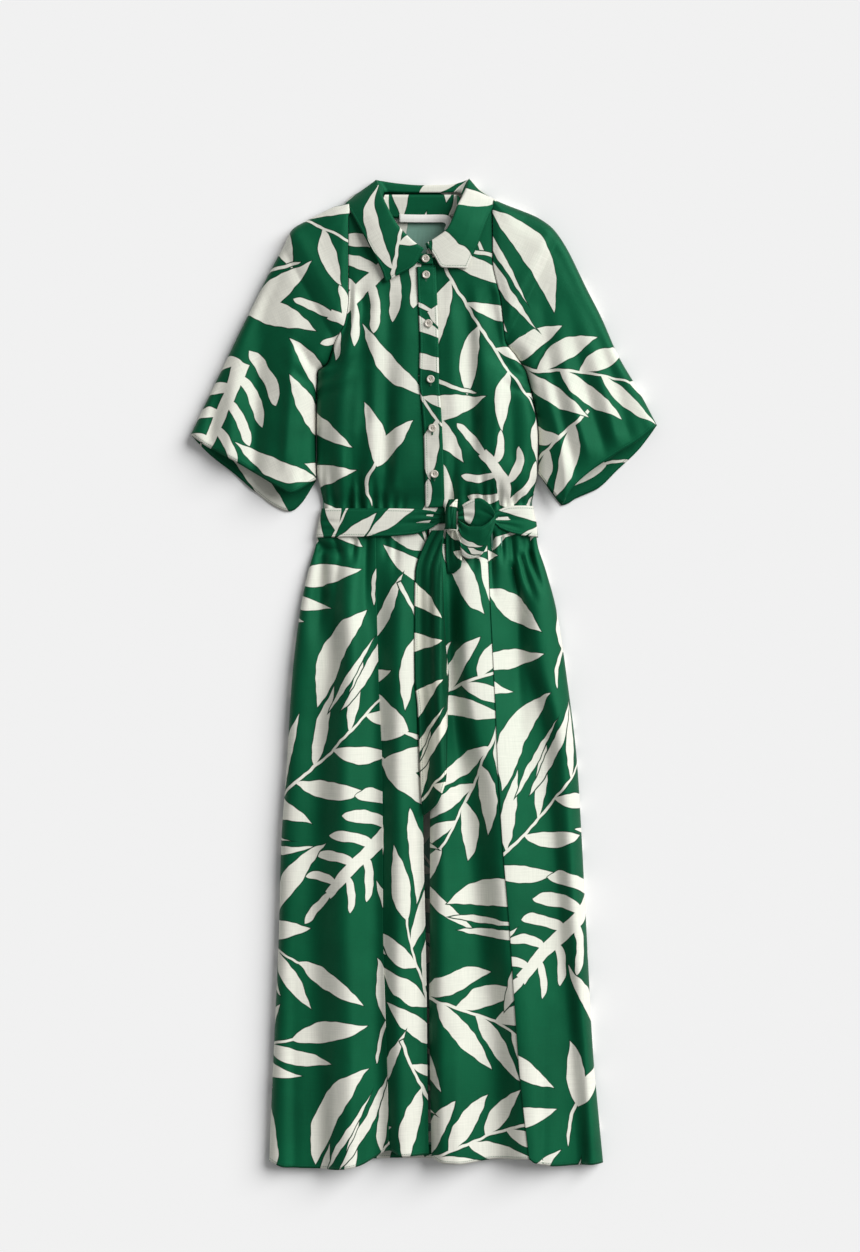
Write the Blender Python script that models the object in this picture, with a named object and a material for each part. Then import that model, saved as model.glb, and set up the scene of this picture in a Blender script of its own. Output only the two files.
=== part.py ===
"""Shirt dress with raglan sleeves, a fold-down collar and its own tie belt, laid flat on its back.

The dress lies in the XY plane: +Y runs to the collar, +X to the wearer's left, +Z up off the surface.
The origin is under the back of the belt, in the middle of the waist. The tables and the functions
that read them work in millimetres, and cloth() and button() turn them into metres.
Every panel is a wall: a sheet of points on its outer face, thickened inward.
"""

import math

import bmesh
import bpy
import numpy as np

for old in list(bpy.data.objects):
    bpy.data.objects.remove(old)

# ---------------------------------------------------------------- driving dimensions, mm

MM = 0.001
CLOTH = 1.6  # wall of one panel
GAP = 0.3  # air between pieces that touch
SEAM = 0.6  # how far each edge stays from the middle of a seam, where the edges lean together
LIE = CLOTH + GAP  # how far a layer lies above the one under it
BELT_CLEAR = LIE + GAP / 2  # from the body's face to the belt's
SLEEVE_CLEAR = 2.2  # between a sleeve's inner edge and the body's edge beside it
SIDE_REACH = 42.0  # width over which a side rounds up to the crown
BACK_REACH = 14.0  # width over which the back rounds up to the side seam
FRONT_NEAR = (0, 1.2, 4, 10, 22, 42)  # columns of the front, from its side edge
BACK_NEAR = (0, 0.25, 1.6, 5, 14)  # and of the back
BELT_HALF = 23.0  # the back is lifted over this half height of the belt
BELT_BLEND = 10.0  # and comes down to the surface over this much more
UNDERARM = 208.0  # the back's side seams flatten out below this
UNDERARM_BLEND = 20.0
BODICE_LEVEL = 262.0  # up to here the bodice's rows are level, above they follow the neckline
NECKLINE_LOW = 338.0  # lowest point of the neckline, at the placket
HEM_LEVEL = 840.0  # nominal length of the skirt
PLEAT_DEPTH = 32.0  # how far the knife pleats reach under the side of the skirt
PLEAT_DROP = 2 * CLOTH + 0.8  # from the top of a pleat's fold to the face of its return
PLEAT_STEP = 0.8  # air between the return and the centre panel under it
SLIT_DIP = 6.0  # how far the centre-front edges of the skirt sink
SLIT_REACH = 26.0
LAP_WIDTH = 16.0  # the left front sinks under the lap over this width
LAP_SPARE = 6.0  # and lies flat for this much beyond the placket's edge
PLACKET_BASE = 21.5  # the placket ends above the belt
BUTTON_RADIUS = 5.2
BUTTON_HEIGHT = 2.4
BUTTON_HOLE = 0.75
BUTTON_HOLE_SPREAD = 1.35
BUTTON_SIDES = 12


def table(names, rows):
    """A table's columns by name."""
    return {n: np.array([r[i] for r in rows], float) for i, n in enumerate(names.split())}


# Outline of the body seen from above, the height of its crown, and the height of its two edges.
BODY = table(
    "y left right crown left_rim right_rim",
    [
        (-840, -209.0, 230.6, 30, 6, 6),
        (-803, -207.8, 227.0, 31, 6, 6),
        (-690, -203.0, 217.0, 33, 6, 6),
        (-547, -196.7, 209.4, 34, 6, 6),
        (-424, -193.4, 203.0, 34, 6, 6),
        (-315, -185.8, 196.4, 33, 6, 6),
        (-206, -179.2, 183.3, 32, 6, 6),
        (-113, -168.0, 169.0, 29, 6, 6),
        (-61, -157.2, 155.0, 25, 6, 6),
        (-26, -147.3, 144.0, 20, 6, 6),
        (0, -142.5, 141.0, 20, 6, 6),
        (24, -137.9, 136.8, 20, 6, 6),
        (47, -142.0, 141.0, 26, 6, 6),
        (64, -146.0, 143.6, 29, 6, 6),
        (110, -146.6, 144.6, 32, 6, 7),
        (126, -146.6, 143.8, 33, 6, 8),
        (151, -146.6, 139.8, 34, 6, 9),
        (177, -146.3, 135.0, 34, 6, 10),
        (200, -145.0, 128.8, 34, 7, 11),
        (209, -132.6, 123.0, 34, 12, 12),
        (220, -128.0, 115.4, 34, 13, 13),
        (239, -121.6, 101.2, 34, 14, 14),
        (263, -108.6, 98.4, 33, 14, 14),
        (293, -104.2, 95.0, 31, 14, 14),
        (346, -104.2, 84.4, 29, 14, 14),
        (400, -104.2, 84.4, 25, 13, 13),
        (426, -91.0, 83.0, 19, 12, 12),
    ],
)

# Skirt front: knife pleat folds that face the centre front, and the two edges of its opening.
SKIRT = table(
    "y pleat_left pleat_right slit_left slit_right",
    [
        (0, -69.0, 77.0, -1.0, 1.0),
        (-101, -67.5, 81.4, -4.0, 3.6),
        (-230, -64.0, 87.6, -7.5, 5.6),
        (-315, -60.5, 91.0, -9.0, 6.4),
        (-402, -59.5, 95.8, -9.0, 6.6),
        (-547, -59.0, 107.3, -4.2, 3.6),
        (-634, -56.5, 112.9, -1.8, 1.8),
        (-725, -53.6, 119.5, -0.8, 2.6),
        (-840, -50.6, 132.2, 1.2, 4.6),
    ],
)

# Length of the skirt front below the waist, across its width at the hem.
HEM_LEFT = table(
    "x drop",
    [(-209, 838), (-189, 846), (-130, 848), (-91, 843), (-69, 832), (-50.6, 823), (-34, 830), (3, 829)],
)
HEM_RIGHT = table(
    "x drop",
    [
        (4, 831),
        (18, 838),
        (46, 840),
        (80, 836),
        (119, 834),
        (132, 833),
        (139, 838),
        (173, 844),
        (231, 841),
    ],
)
BACK_HEM = 836.0

# Front edge of the bodice above the level rows: height of the neckline across each front.
NECKLINE = table(
    "across left right",
    [
        (0, 424, 423),
        (0.07, 422, 418),
        (0.2, 417, 409),
        (0.4, 402, 397),
        (0.58, 374, 372),
        (0.76, 352, 352),
        (1, 338, 339),
    ],
)

# Button placket, which is also the lap of the wearer's right front over the left.
PLACKET = table(
    "y left right",
    [
        (0, -3.0, 22.5),
        (62, -4.3, 20.8),
        (113, -5.6, 19.0),
        (163, -9.5, 16.0),
        (182, -11.6, 14.4),
        (232, -10.8, 13.8),
        (309, -14.0, 11.4),
        (338, -15.0, 10.4),
    ],
)

# Raglan sleeves, from the neck to the cuff. outer is the shoulder or upper edge and inner the raglan
# seam, then the underarm. slack is how much of the cuff's drop a row takes.
SLEEVE = "outer_x outer_y inner_y inner_z crown slack"
SLEEVE_RIGHT = table(
    SLEEVE,
    [
        (-104.0, 420.5, 408, 12.0, 13, 0),
        (-121.0, 417.5, 383.5, 14.0, 17, 0),
        (-141.0, 408.5, 343, 14.0, 21, 0),
        (-161.5, 397.8, 302.5, 14.0, 23, 0),
        (-179.0, 386.7, 262, 14.0, 25, 0),
        (-190.0, 365.0, 242, 13.5, 26, 0),
        (-201.0, 345.0, 222, 12.5, 27, 0),
        (-213.0, 322.0, 209, 11.0, 27, 0),
        (-226.0, 296.0, 200, 6.4, 27, 0.03),
        (-246.0, 256.0, 165, 5.0, 27, 0.15),
        (-268.0, 210.0, 130, 5.0, 26, 0.38),
        (-291.0, 162.0, 95, 5.0, 26, 0.7),
        (-312.5, 117.0, 60, 5.0, 25, 1),
    ],
)
SLEEVE_LEFT = table(
    SLEEVE,
    [
        (87.0, 426.0, 412, 12.0, 13, 0),
        (104.0, 419.0, 383.5, 14.0, 17, 0),
        (124.0, 411.5, 343, 14.0, 21, 0),
        (143.0, 403.5, 302.5, 14.0, 23, 0),
        (162.4, 390.2, 262, 14.0, 25, 0),
        (172.0, 379.0, 242, 13.5, 26, 0),
        (184.0, 360.0, 222, 12.5, 27, 0),
        (196.0, 336.0, 209, 12.0, 27, 0),
        (209.0, 309.0, 200, 10.5, 27, 0.03),
        (228.0, 272.0, 165, 8.0, 27, 0.15),
        (250.0, 222.0, 130, 6.0, 26, 0.38),
        (278.0, 174.0, 97, 5.0, 26, 0.7),
        (301.6, 129.3, 68, 5.0, 25, 1),
    ],
)
SLEEVE_EDGE = 6.0  # height of the outer edge
SLEEVE_CLOSED = 7.5  # row from which the back meets the front at the underarm
SLEEVE_INNER_REACH = 42.0  # widths over which a sleeve rounds, at full size
SLEEVE_OUTER_REACH = 36.0
SLEEVE_FULL = 95.0  # a sleeve narrower than this has its rounding scaled down
# How far the cuff hangs below the line from its inner to its outer corner, front and back.
CUFF_RIGHT = table(
    "across front back",
    [
        (0, 2, 2),
        (0.05, 14, 38),
        (0.1, 25, 52),
        (0.155, 32, 55),
        (0.22, 30, 54),
        (0.4, 23, 44),
        (0.6, 15.5, 30),
        (0.8, 10, 18),
        (0.92, 5, 8),
        (1, 0, 0),
    ],
)
CUFF_LEFT = table(
    "across front back",
    [
        (0, 2, 2),
        (0.05, 34, 36),
        (0.085, 51, 53),
        (0.13, 45, 53.5),
        (0.2, 37, 51),
        (0.36, 26, 50),
        (0.6, 16.7, 35),
        (0.8, 10.5, 21),
        (0.92, 5, 9),
        (1, 0, 0),
    ],
)

# The neck run, from the wearer's right front, round the back, to the left front. NECK has the stand's
# lower edge (neck) and upper edge (seam), COLLAR the seam, the roll, the middle and the outer edge.
NECK = table(
    "neck_x neck_y neck_z seam_x seam_y seam_z",
    [
        (7, 339, 31.5, 5, 352, 31.8),
        (-8, 339, 31.5, -10, 353, 31.8),
        (-24, 350, 31.0, -21, 362, 31.6),
        (-42, 370, 30.0, -40, 383, 31.2),
        (-58, 394, 28.4, -53, 404, 29.0),
        (-68, 410, 25.6, -57, 422, 21.0),
        (-66, 419, 11.0, -56, 432, 11.5),
        (-46, 403, 4.0, -48, 433, 7.0),
        (-8, 400.2, 3.6, -8, 433, 7.0),
        (30, 403, 4.0, 30, 433, 7.0),
        (48, 419, 11.0, 38, 432, 11.5),
        (53, 410, 25.6, 38, 421, 20.0),
        (44, 393, 28.4, 34, 402, 29.0),
        (34, 372, 30.0, 26, 383, 30.8),
        (18, 352, 29.9, 12, 366, 30.2),
        (2, 346.5, 29.4, -3, 357, 29.4),
    ],
)
COLLAR = table(
    "seam_x seam_y inner_z roll_x roll_y outer_z mid_x mid_y mid_z edge_x edge_y edge_z",
    [
        (-12, 356.0, 34.8, -5.3, 359.0, 39.8, -17.0, 337.0, 37.5, -56.3, 314.2, 33.6),
        (-22, 365.5, 34.8, -17.1, 367.0, 39.8, -37.0, 346.0, 38.4, -59.0, 326.0, 33.8),
        (-43, 388.5, 34.4, -39.4, 390.0, 39.6, -58.0, 374.0, 38.4, -75.9, 360.9, 33.4),
        (-54, 405.0, 32.4, -49.9, 408.3, 37.4, -70.0, 395.0, 36.0, -89.0, 385.0, 30.0),
        (-60, 421.0, 24.6, -57.5, 424.0, 29.6, -80.0, 413.0, 29.0, -100.5, 406.0, 24.0),
        (-59, 430.0, 16.5, -63.5, 440.0, 19.5, -86.0, 429.0, 20.0, -108.3, 421.0, 15.5),
        (-57, 436.0, 11.0, -68.4, 452.2, 9.5, -84.4, 440.5, 9.0, -106.0, 426.0, 7.5),
        (-51, 436.5, 7.0, -60.0, 451.2, 3.0, -74.0, 442.0, 1.0, -88.0, 436.5, 0.4),
        (-36, 436.0, 7.0, -40.0, 450.8, 0.0, -44.0, 428.0, 0.0, -48.0, 408.0, 0.0),
        (-8, 436.0, 7.0, -8.0, 450.2, 0.0, -8.0, 428.0, 0.0, -8.0, 405.0, 0.0),
        (22, 436.0, 7.0, 26.0, 451.0, 0.0, 29.0, 428.0, 0.0, 32.0, 408.0, 0.0),
        (36, 436.5, 7.0, 46.0, 452.4, 3.0, 54.0, 443.0, 1.0, 62.0, 437.5, 0.4),
        (41, 436.0, 11.0, 54.2, 453.6, 9.5, 61.0, 443.0, 9.0, 69.5, 430.5, 9.5),
        (44, 429.0, 17.6, 47.7, 434.9, 23.0, 62.0, 426.0, 23.4, 77.9, 412.3, 23.0),
        (41, 412.0, 29.0, 37.2, 413.7, 34.4, 56.0, 406.0, 32.0, 76.5, 399.0, 27.5),
        (34, 395.0, 32.4, 31.1, 397.2, 37.4, 52.0, 387.0, 36.4, 73.3, 386.0, 31.0),
        (27, 382.0, 33.8, 23.6, 383.7, 38.8, 43.0, 368.0, 37.6, 65.8, 365.5, 32.8),
        (13, 369.0, 33.2, 10.0, 373.4, 38.2, 29.0, 354.0, 37.6, 55.5, 343.0, 33.4),
        (-1, 358.5, 32.9, -3.5, 365.5, 37.8, 15.0, 339.0, 36.6, 50.7, 333.9, 33.4),
    ],
)

ROLL_RADIUS = 2.2  # of the collar's fold
NECK_LABEL = table(
    "x y z half",
    [
        (-38, 402.0, 6.6, 5.2),
        (-8, 401.6, 6.4, 5.2),
        (16, 401.8, 6.6, 5.2),
        (25, 400.0, 7.4, 5.4),
        (28.5, 393.0, 9.0, 4.8),
        (25, 385.0, 11.5, 4.2),
    ],
)
NECK_LABEL_WALL = 1.0

# Belt: the band round the waist. x runs over the front, from the wearer's right to the left; the knot
# takes both ends. Round the sides and the back the band has its full width.
BELT_FRONT_RIGHT = table(
    "x top bottom",
    [(-145, 19.7, -18.4), (-60, 19.5, -17.5), (-20, 18.6, -15), (2, 16.5, -8), (18, 12, 3)],
)
BELT_FRONT_LEFT = table(
    "x top bottom",
    [
        (41, 10, -1),
        (60, 11, -1),
        (86, 12.6, 1),
        (95, 17, -7),
        (113, 23, -14),
        (132, 23.4, -17),
        (145, 22.4, -17.6),
    ],
)
BELT_BACK_TOP = 19.7
BELT_BACK_BOTTOM = -18.4
BELT_START = 18.0  # x of the right half's end at the knot
BELT_FINISH = 41.0  # x of the left half's end at the knot
KNOT = table(
    "y left right low high",
    [
        (31, 27, 39, 24.6, 33),
        (23, 23.5, 38.5, 23.4, 37),
        (10, 22.0, 37.5, 23.4, 39),
        (-1, 22.5, 37.0, 23.4, 38),
        (-8, 21.0, 38.0, 24.0, 34),
    ],
)
KNOT_OPEN = 16  # degrees left open under the knot, and how square its section is
KNOT_SQUARE = 0.8
LOOP = table(
    "x top bottom top_z bottom_z",
    [
        (39.4, 18.0, 4.0, 28.0, 27.0),
        (50.0, 27.0, -1.0, 27.4, 26.4),
        (66.0, 32.6, -8.5, 27.4, 26.2),
        (79.0, 26.0, -6.5, 28.0, 27.0),
        (87.6, 11.5, -2.0, 33.0, 32.0),
        (82.0, 3.0, -19.0, 39.0, 36.0),
        (68.0, -5.0, -43.5, 41.0, 33.0),
        (55.0, -5.0, -47.0, 41.0, 31.0),
        (45.0, 0.0, -43.0, 40.0, 31.0),
        (39.6, 3.5, -16.0, 37.0, 33.5),
    ],
)
TAIL_LONG = table(
    "y left right",
    [
        (-9.5, 4.5, 21.0),
        (-30, -6.0, 19.0),
        (-64, -16.7, 19.5),
        (-101, -17.5, 20.5),
        (-161, -17.6, 23.6),
        (-205, -17.2, 27.4),
        (-240, -13.6, 26.0),
        (-306, -11.3, 25.0),
        (-332, -10.4, 24.2),
        (-366, -8.6, 12.0),
        (-382, -7.4, -5.4),
    ],
)
TAIL_SHORT = table(
    "y left right",
    [
        (-9.5, 23.4, 36.0),
        (-24, 22.8, 42.0),
        (-44, 23.0, 44.0),
        (-56, 24.4, 43.0),
        (-66, 25.4, 33.0),
    ],
)
TAIL_LONG_RISE = 4.0  # how much higher each tail is at the knot
TAIL_SHORT_RISE = 2.0
BUTTONS = table("x y", [(-3.3, 346), (-2.6, 325), (0.7, 261), (3.4, 188), (5.6, 124), (8.4, 64)])
STAND_BUTTON_SEAT = 34.4  # height of the first button, which is on the collar stand

# ---------------------------------------------------------------- curves


def through(stations, values, at):
    """A smooth curve through a table's column. It never overshoots the values it passes."""
    order = np.argsort(stations)
    x, y = np.asarray(stations)[order], np.asarray(values)[order]
    step = np.diff(x)
    slope = np.diff(y) / step
    tangent = np.zeros(len(x))
    tangent[0], tangent[-1] = slope[0], slope[-1]
    same = slope[:-1] * slope[1:] > 0
    before, after = 2 * step[1:] + step[:-1], step[1:] + 2 * step[:-1]
    mean = np.zeros(len(slope) - 1)
    mean[same] = (before + after)[same] / (before[same] / slope[:-1][same] + after[same] / slope[1:][same])
    tangent[1:-1] = mean
    at = np.clip(at, x[0], x[-1])
    k = np.clip(np.searchsorted(x, at, side="right") - 1, 0, len(step) - 1)
    s = (at - x[k]) / step[k]
    return (
        y[k] * (1 + 2 * s) * (1 - s) ** 2
        + y[k + 1] * s * s * (3 - 2 * s)
        + step[k] * s * (1 - s) * (tangent[k] * (1 - s) - tangent[k + 1] * s)
    )


def read(columns, name, at, by="y"):
    return through(columns[by], columns[name], at)


def row(columns, name, at):
    """A column read by row number, so that at=1.5 is half way from the second row to the third."""
    return through(np.arange(len(columns[name])), columns[name], at)


def ramp(value):
    value = np.clip(value, 0, 1)
    return value * value * (3 - 2 * value)


def quarter(value):
    """A quarter of an ellipse: rises steeply from 0 and flattens out at 1."""
    return np.sqrt(1 - (1 - np.clip(value, 0, 1)) ** 2)


def spread(near, start, end, count):
    """Distances near an edge, then evenly spaced ones up to a far end."""
    return list(near) + list(np.linspace(start, end, count + 1))[1:]


# ---------------------------------------------------------------- the body's form


def lift(y):
    """The back's height off the surface: it passes over the belt."""
    return BELT_CLEAR * (1 - ramp((abs(y) - BELT_HALF) / BELT_BLEND))


def height(x, y):
    """Height of the front's outer face over the surface."""
    left, right = read(BODY, "left", y), read(BODY, "right", y)
    crown = read(BODY, "crown", y)
    from_left = quarter((x - left) / SIDE_REACH)
    from_right = quarter((right - x) / SIDE_REACH)
    left_rim, right_rim = read(BODY, "left_rim", y), read(BODY, "right_rim", y)
    rise = min(left_rim + (crown - left_rim) * from_left, right_rim + (crown - right_rim) * from_right)
    return rise + SEAM


def side_seam(y):
    """1 where the back rises to a side seam, 0 above the underarm, where it meets the sleeves flat."""
    return 1 - ramp((y - UNDERARM + UNDERARM_BLEND) / UNDERARM_BLEND)


def underside(x, y):
    """Height of the back's outer face: flat, rounding up to the side seams."""
    left, right = read(BODY, "left", y), read(BODY, "right", y)
    to_left, to_right = (x - left) / BACK_REACH, (right - x) / BACK_REACH
    side, near = ("left_rim", to_left) if to_left < to_right else ("right_rim", to_right)
    rim = read(BODY, side, y) - SEAM
    raised = side_seam(y)
    return lift(y) + (rim - lift(y)) * raised * (1 - quarter(near))


# ---------------------------------------------------------------- making objects


def material(name, colour, roughness):
    made = bpy.data.materials.new(name)
    made.use_nodes = True
    shader = made.node_tree.nodes["Principled BSDF"]
    shader.inputs["Base Color"].default_value = (*colour, 1)
    shader.inputs["Roughness"].default_value = roughness
    shader.inputs["Metallic"].default_value = 0
    return made


PRINT_GREEN = material("leaf_print_green", (0.02, 0.17, 0.08), 0.55)
PRINT_PALE = material("leaf_print_pale", (0.75, 0.71, 0.65), 0.55)
TAPE = material("white_tape", (0.85, 0.85, 0.83), 0.7)
SHELL = material("button_shell", (0.66, 0.62, 0.55), 0.3)

dress = bpy.data.objects.new("dress", None)
bpy.context.scene.collection.objects.link(dress)


def add(name, mesh, finish):
    mesh.materials.append(finish)
    made = bpy.data.objects.new(name, mesh)
    bpy.context.scene.collection.objects.link(made)
    made.parent = dress
    return made


def cloth(name, points, finish=PRINT_GREEN, wall=CLOTH, flip=False):
    """A wall of cloth. points is a grid of outer-face points; the wall grows to the other side."""
    grid = np.array(points, float) * MM
    rows, columns = grid.shape[:2]
    faces = []
    for i in range(rows - 1):
        for j in range(columns - 1):
            a, b = i * columns + j, (i + 1) * columns + j
            faces.append((a, a + 1, b + 1, b) if flip else (a, b, b + 1, a + 1))
    mesh = bpy.data.meshes.new(name)
    mesh.from_pydata(grid.reshape(-1, 3).tolist(), [], faces)
    mesh.shade_smooth()
    made = add(name, mesh, finish)
    thicken = made.modifiers.new("wall", "SOLIDIFY")
    thicken.thickness = wall * MM
    thicken.offset = -1
    thicken.use_even_offset = True
    return made


# ---------------------------------------------------------------- bodice


def bodice_back():
    """From the waist to the neck seam; its upper edges meet the sleeves' back edges."""
    levels = (0.4, 22, 34, 64, 120, 180, 200, 209, 222, 242, 262, 302.5, 343, 383.5, 398)
    points = []
    for y in levels:
        left, right = read(BODY, "left", y), read(BODY, "right", y)
        middle = (left + right) / 2
        part = side_seam(y)
        near = np.array(BACK_NEAR) * part + np.linspace(0, BACK_REACH, len(BACK_NEAR)) * (1 - part)
        across = [left + d for d in spread(near, BACK_REACH, middle - left, 1)]
        across += [right - d for d in reversed(near)]
        points.append([(x, y, underside(x, y)) for x in across])
    return cloth("back_bodice", points)


def bodice_point(across, level, edge, inner, sink):
    """A point of a front: across runs from 0 at its side or raglan edge to 1 at its front edge."""
    top = through(NECKLINE["across"], NECKLINE[edge], across)
    y = min(level, BODICE_LEVEL) + max(level - BODICE_LEVEL, 0) * (top - BODICE_LEVEL)
    side, front = read(BODY, edge, y), read(PLACKET, inner, min(y, NECKLINE_LOW))
    x = side + (front - side) * across
    return x, y, height(x, y) - sink(x, y)


def no_sink(x, y):
    return 0


def under_lap(x, y):
    """The left front lies one layer lower where the right front laps over it."""
    lap = read(PLACKET, "right", min(y, NECKLINE_LOW)) + LAP_SPARE
    return (LIE + GAP) * (1 - ramp((x - lap) / LAP_WIDTH))


def bodice_front(name, edge, inner, sink, flip):
    """One front, from the waist to the neck seam. The last whole level is at the neckline."""
    levels = (0.4, 22, 34, 48, 64, 95, 130, 165, 190, 200, 209, 222, 242)
    levels += tuple(BODICE_LEVEL + part for part in (0, 0.25, 0.5, 0.75, 1))
    points = []
    for level in levels:
        straight = min(level, BODICE_LEVEL)
        wide = abs(read(BODY, edge, straight) - read(PLACKET, inner, straight))
        across = [d / wide for d in spread(FRONT_NEAR, SIDE_REACH, wide, 4)]
        points.append([bodice_point(part, level, edge, inner, sink) for part in across])
    return cloth(name, points, flip=flip)


def placket():
    """A strip on the right front, from the waist to the neck seam."""
    points = []
    for y in (PLACKET_BASE, 34, 48, 64, 95, 130, 165, 200, 242, 262, 300, 335.5):
        left, right = read(PLACKET, "left", y), read(PLACKET, "right", y)
        across = [left + (right - left) * part for part in (0, 0.33, 0.67, 1)]
        points.append([(x, y, height(x, y) + LIE) for x in across])
    return cloth("placket", points, flip=True)


# ---------------------------------------------------------------- skirt


def skirt_back():
    points = []
    for part in (0.0005, 0.026, 0.041, 0.075, 0.14, 0.25, 0.4, 0.55, 0.7, 0.85, 1):
        level = -part * HEM_LEVEL
        left, right = read(BODY, "left", level), read(BODY, "right", level)
        near = spread(BACK_NEAR, BACK_REACH, (right - left) / 2, 2)
        across = [left + d for d in near] + [right - d for d in reversed(near[:-1])]
        side_drop = ramp(abs(2 * np.array(across) - left - right) / (right - left) * 3 - 2)
        drop = BACK_HEM + (HEM_LEVEL - BACK_HEM) * side_drop
        points.append([(x, -part * d, underside(x, level)) for x, d in zip(across, drop)])
    return cloth("back_skirt", points, flip=True)


def skirt_section(level, side, pleat, slit, inward):
    """(x, drop below the body's height) across a front skirt: side, fold, return, fold, centre."""
    edge = read(BODY, side, level)
    fold, centre = read(SKIRT, pleat, level), read(SKIRT, slit, level)
    bend = PLEAT_DROP / 2
    turn = fold - inward * bend
    back = fold - inward * PLEAT_DEPTH
    section = [(edge + inward * d, 0) for d in spread(FRONT_NEAR, SIDE_REACH, abs(turn - edge), 2)]
    for angle in (45, 0, -45):
        spot = math.radians(angle)
        section.append((turn + inward * bend * math.cos(spot), bend - bend * math.sin(spot)))
    section += [(turn, PLEAT_DROP), ((turn + back) / 2, PLEAT_DROP), (back, PLEAT_DROP)]
    section.append((back - inward * PLEAT_STEP / 2, PLEAT_DROP + PLEAT_STEP / 2))
    for part in (0, 0.3, 0.6, 0.8, 0.92, 1):
        x = back + (centre - back) * part
        dip = SLIT_DIP * (1 - ramp(abs(centre - x) / SLIT_REACH)) * ramp(-level / 60)
        section.append((x, PLEAT_DROP + PLEAT_STEP + dip))
    return section


def skirt_front(name, side, pleat, slit, hem, inward):
    points = []
    for part in (0.0005, 0.027, 0.042, 0.075, 0.12, 0.18, 0.27, 0.38, 0.5, 0.62, 0.74, 0.86, 1):
        level = -part * HEM_LEVEL
        at_hem = skirt_section(-HEM_LEVEL, side, pleat, slit, inward)
        line = []
        for (x, drop), (hem_x, _) in zip(skirt_section(level, side, pleat, slit, inward), at_hem):
            y = -part * through(hem["x"], hem["drop"], hem_x)
            line.append((x, y, height(x, level) - drop))
        points.append(line)
    return cloth(name, points, flip=inward < 0)


# ---------------------------------------------------------------- sleeves


def sleeve_columns(width, from_inner, from_outer, between):
    """Distances across a sleeve, from its inner edge: close together near both edges."""
    scale = min(1, width / SLEEVE_FULL)
    near = [d * scale for d in from_inner]
    far = [width - d * scale for d in reversed(from_outer)]
    return near + list(np.linspace(near[-1], far[0], between + 2))[1:-1] + far, scale


def sleeve(name, columns, cuff, side, flip):
    """An open tube: the front from the raglan seam or underarm to the outer edge, then the back."""
    points = []
    for at, inner_y in enumerate(columns["inner_y"]):
        outer = np.array([columns["outer_x"][at], columns["outer_y"][at]])
        outward = math.copysign(1, outer[0])
        inner = np.array([read(BODY, side, inner_y) + outward * SLEEVE_CLEAR, inner_y])
        chord = outer - inner
        width = np.linalg.norm(chord)
        up = np.array([-chord[1], chord[0]]) * outward / width
        inner_z, crown, slack = columns["inner_z"][at], columns["crown"][at], columns["slack"][at]
        line = []

        front, scale = sleeve_columns(width, (0, 1.2, 4, 10, 22), (0, 0.6, 3, 9, 22), 2)
        for d in front:
            across = d / width
            spot = inner + chord * across - up * slack * read(cuff, "front", across, "across")
            rise = inner_z + SEAM + (crown - inner_z) * quarter(d / SLEEVE_INNER_REACH / scale)
            fall = SLEEVE_EDGE + (crown - SLEEVE_EDGE) * quarter((width - d) / SLEEVE_OUTER_REACH / scale)
            line.append((*spot, min(rise, fall)))

        back, scale = sleeve_columns(width, BACK_NEAR, (0.8, 4, 14), 1)
        closed = 1 if at > SLEEVE_CLOSED else 0
        for d in reversed(back):
            across = d / width
            spot = inner + chord * across - up * slack * read(cuff, "back", across, "across")
            to_outer = SLEEVE_EDGE * (1 - quarter((width - d) / BACK_REACH / scale))
            to_inner = closed * (inner_z - SEAM) * (1 - quarter(d / BACK_REACH / scale))
            line.append((*spot, max(to_outer, to_inner)))
        points.append(line)
    return cloth(name, points, flip=flip)


# ---------------------------------------------------------------- neck


def collar_stand():
    points = []
    for at in np.linspace(0, len(NECK["neck_x"]) - 1, 24):
        neck = np.array([row(NECK, "neck_" + axis, at) for axis in "xyz"])
        seam = np.array([row(NECK, "seam_" + axis, at) for axis in "xyz"])
        points.append([neck, (neck + seam) / 2, seam])
    return cloth("collar_stand", points)


def collar_section(at):
    """A line across the collar: from the stand's seam, over the roll, to the outer edge."""
    seam = np.array([row(COLLAR, "seam_x", at), row(COLLAR, "seam_y", at)])
    roll = np.array([row(COLLAR, "roll_x", at), row(COLLAR, "roll_y", at)])
    middle = np.array([row(COLLAR, "mid_x", at), row(COLLAR, "mid_y", at)])
    edge = np.array([row(COLLAR, "edge_x", at), row(COLLAR, "edge_y", at)])
    inner_z, outer_z = row(COLLAR, "inner_z", at), row(COLLAR, "outer_z", at)
    to_seam = (seam - roll) / np.linalg.norm(seam - roll)
    to_middle = (middle - roll) / np.linalg.norm(middle - roll)
    between = (inner_z + outer_z) / 2
    halfway = (middle + edge) / 2
    mid_z, edge_z = row(COLLAR, "mid_z", at), row(COLLAR, "edge_z", at)
    return [
        (*seam, inner_z),
        (*(roll + to_seam * ROLL_RADIUS), inner_z + 0.2 * (between - inner_z)),
        (*roll, between),
        (*(roll + to_middle * ROLL_RADIUS), outer_z + 0.2 * (between - outer_z)),
        (*(roll + (middle - roll) * 0.5), (outer_z + mid_z) / 2),
        (*middle, mid_z),
        (*halfway, (mid_z + edge_z) / 2 + 0.4),
        (*edge, edge_z),
    ]


def collar():
    stops = np.linspace(0, len(COLLAR["roll_x"]) - 1, 25)
    return cloth("collar", [collar_section(at) for at in stops], PRINT_PALE)


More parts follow.
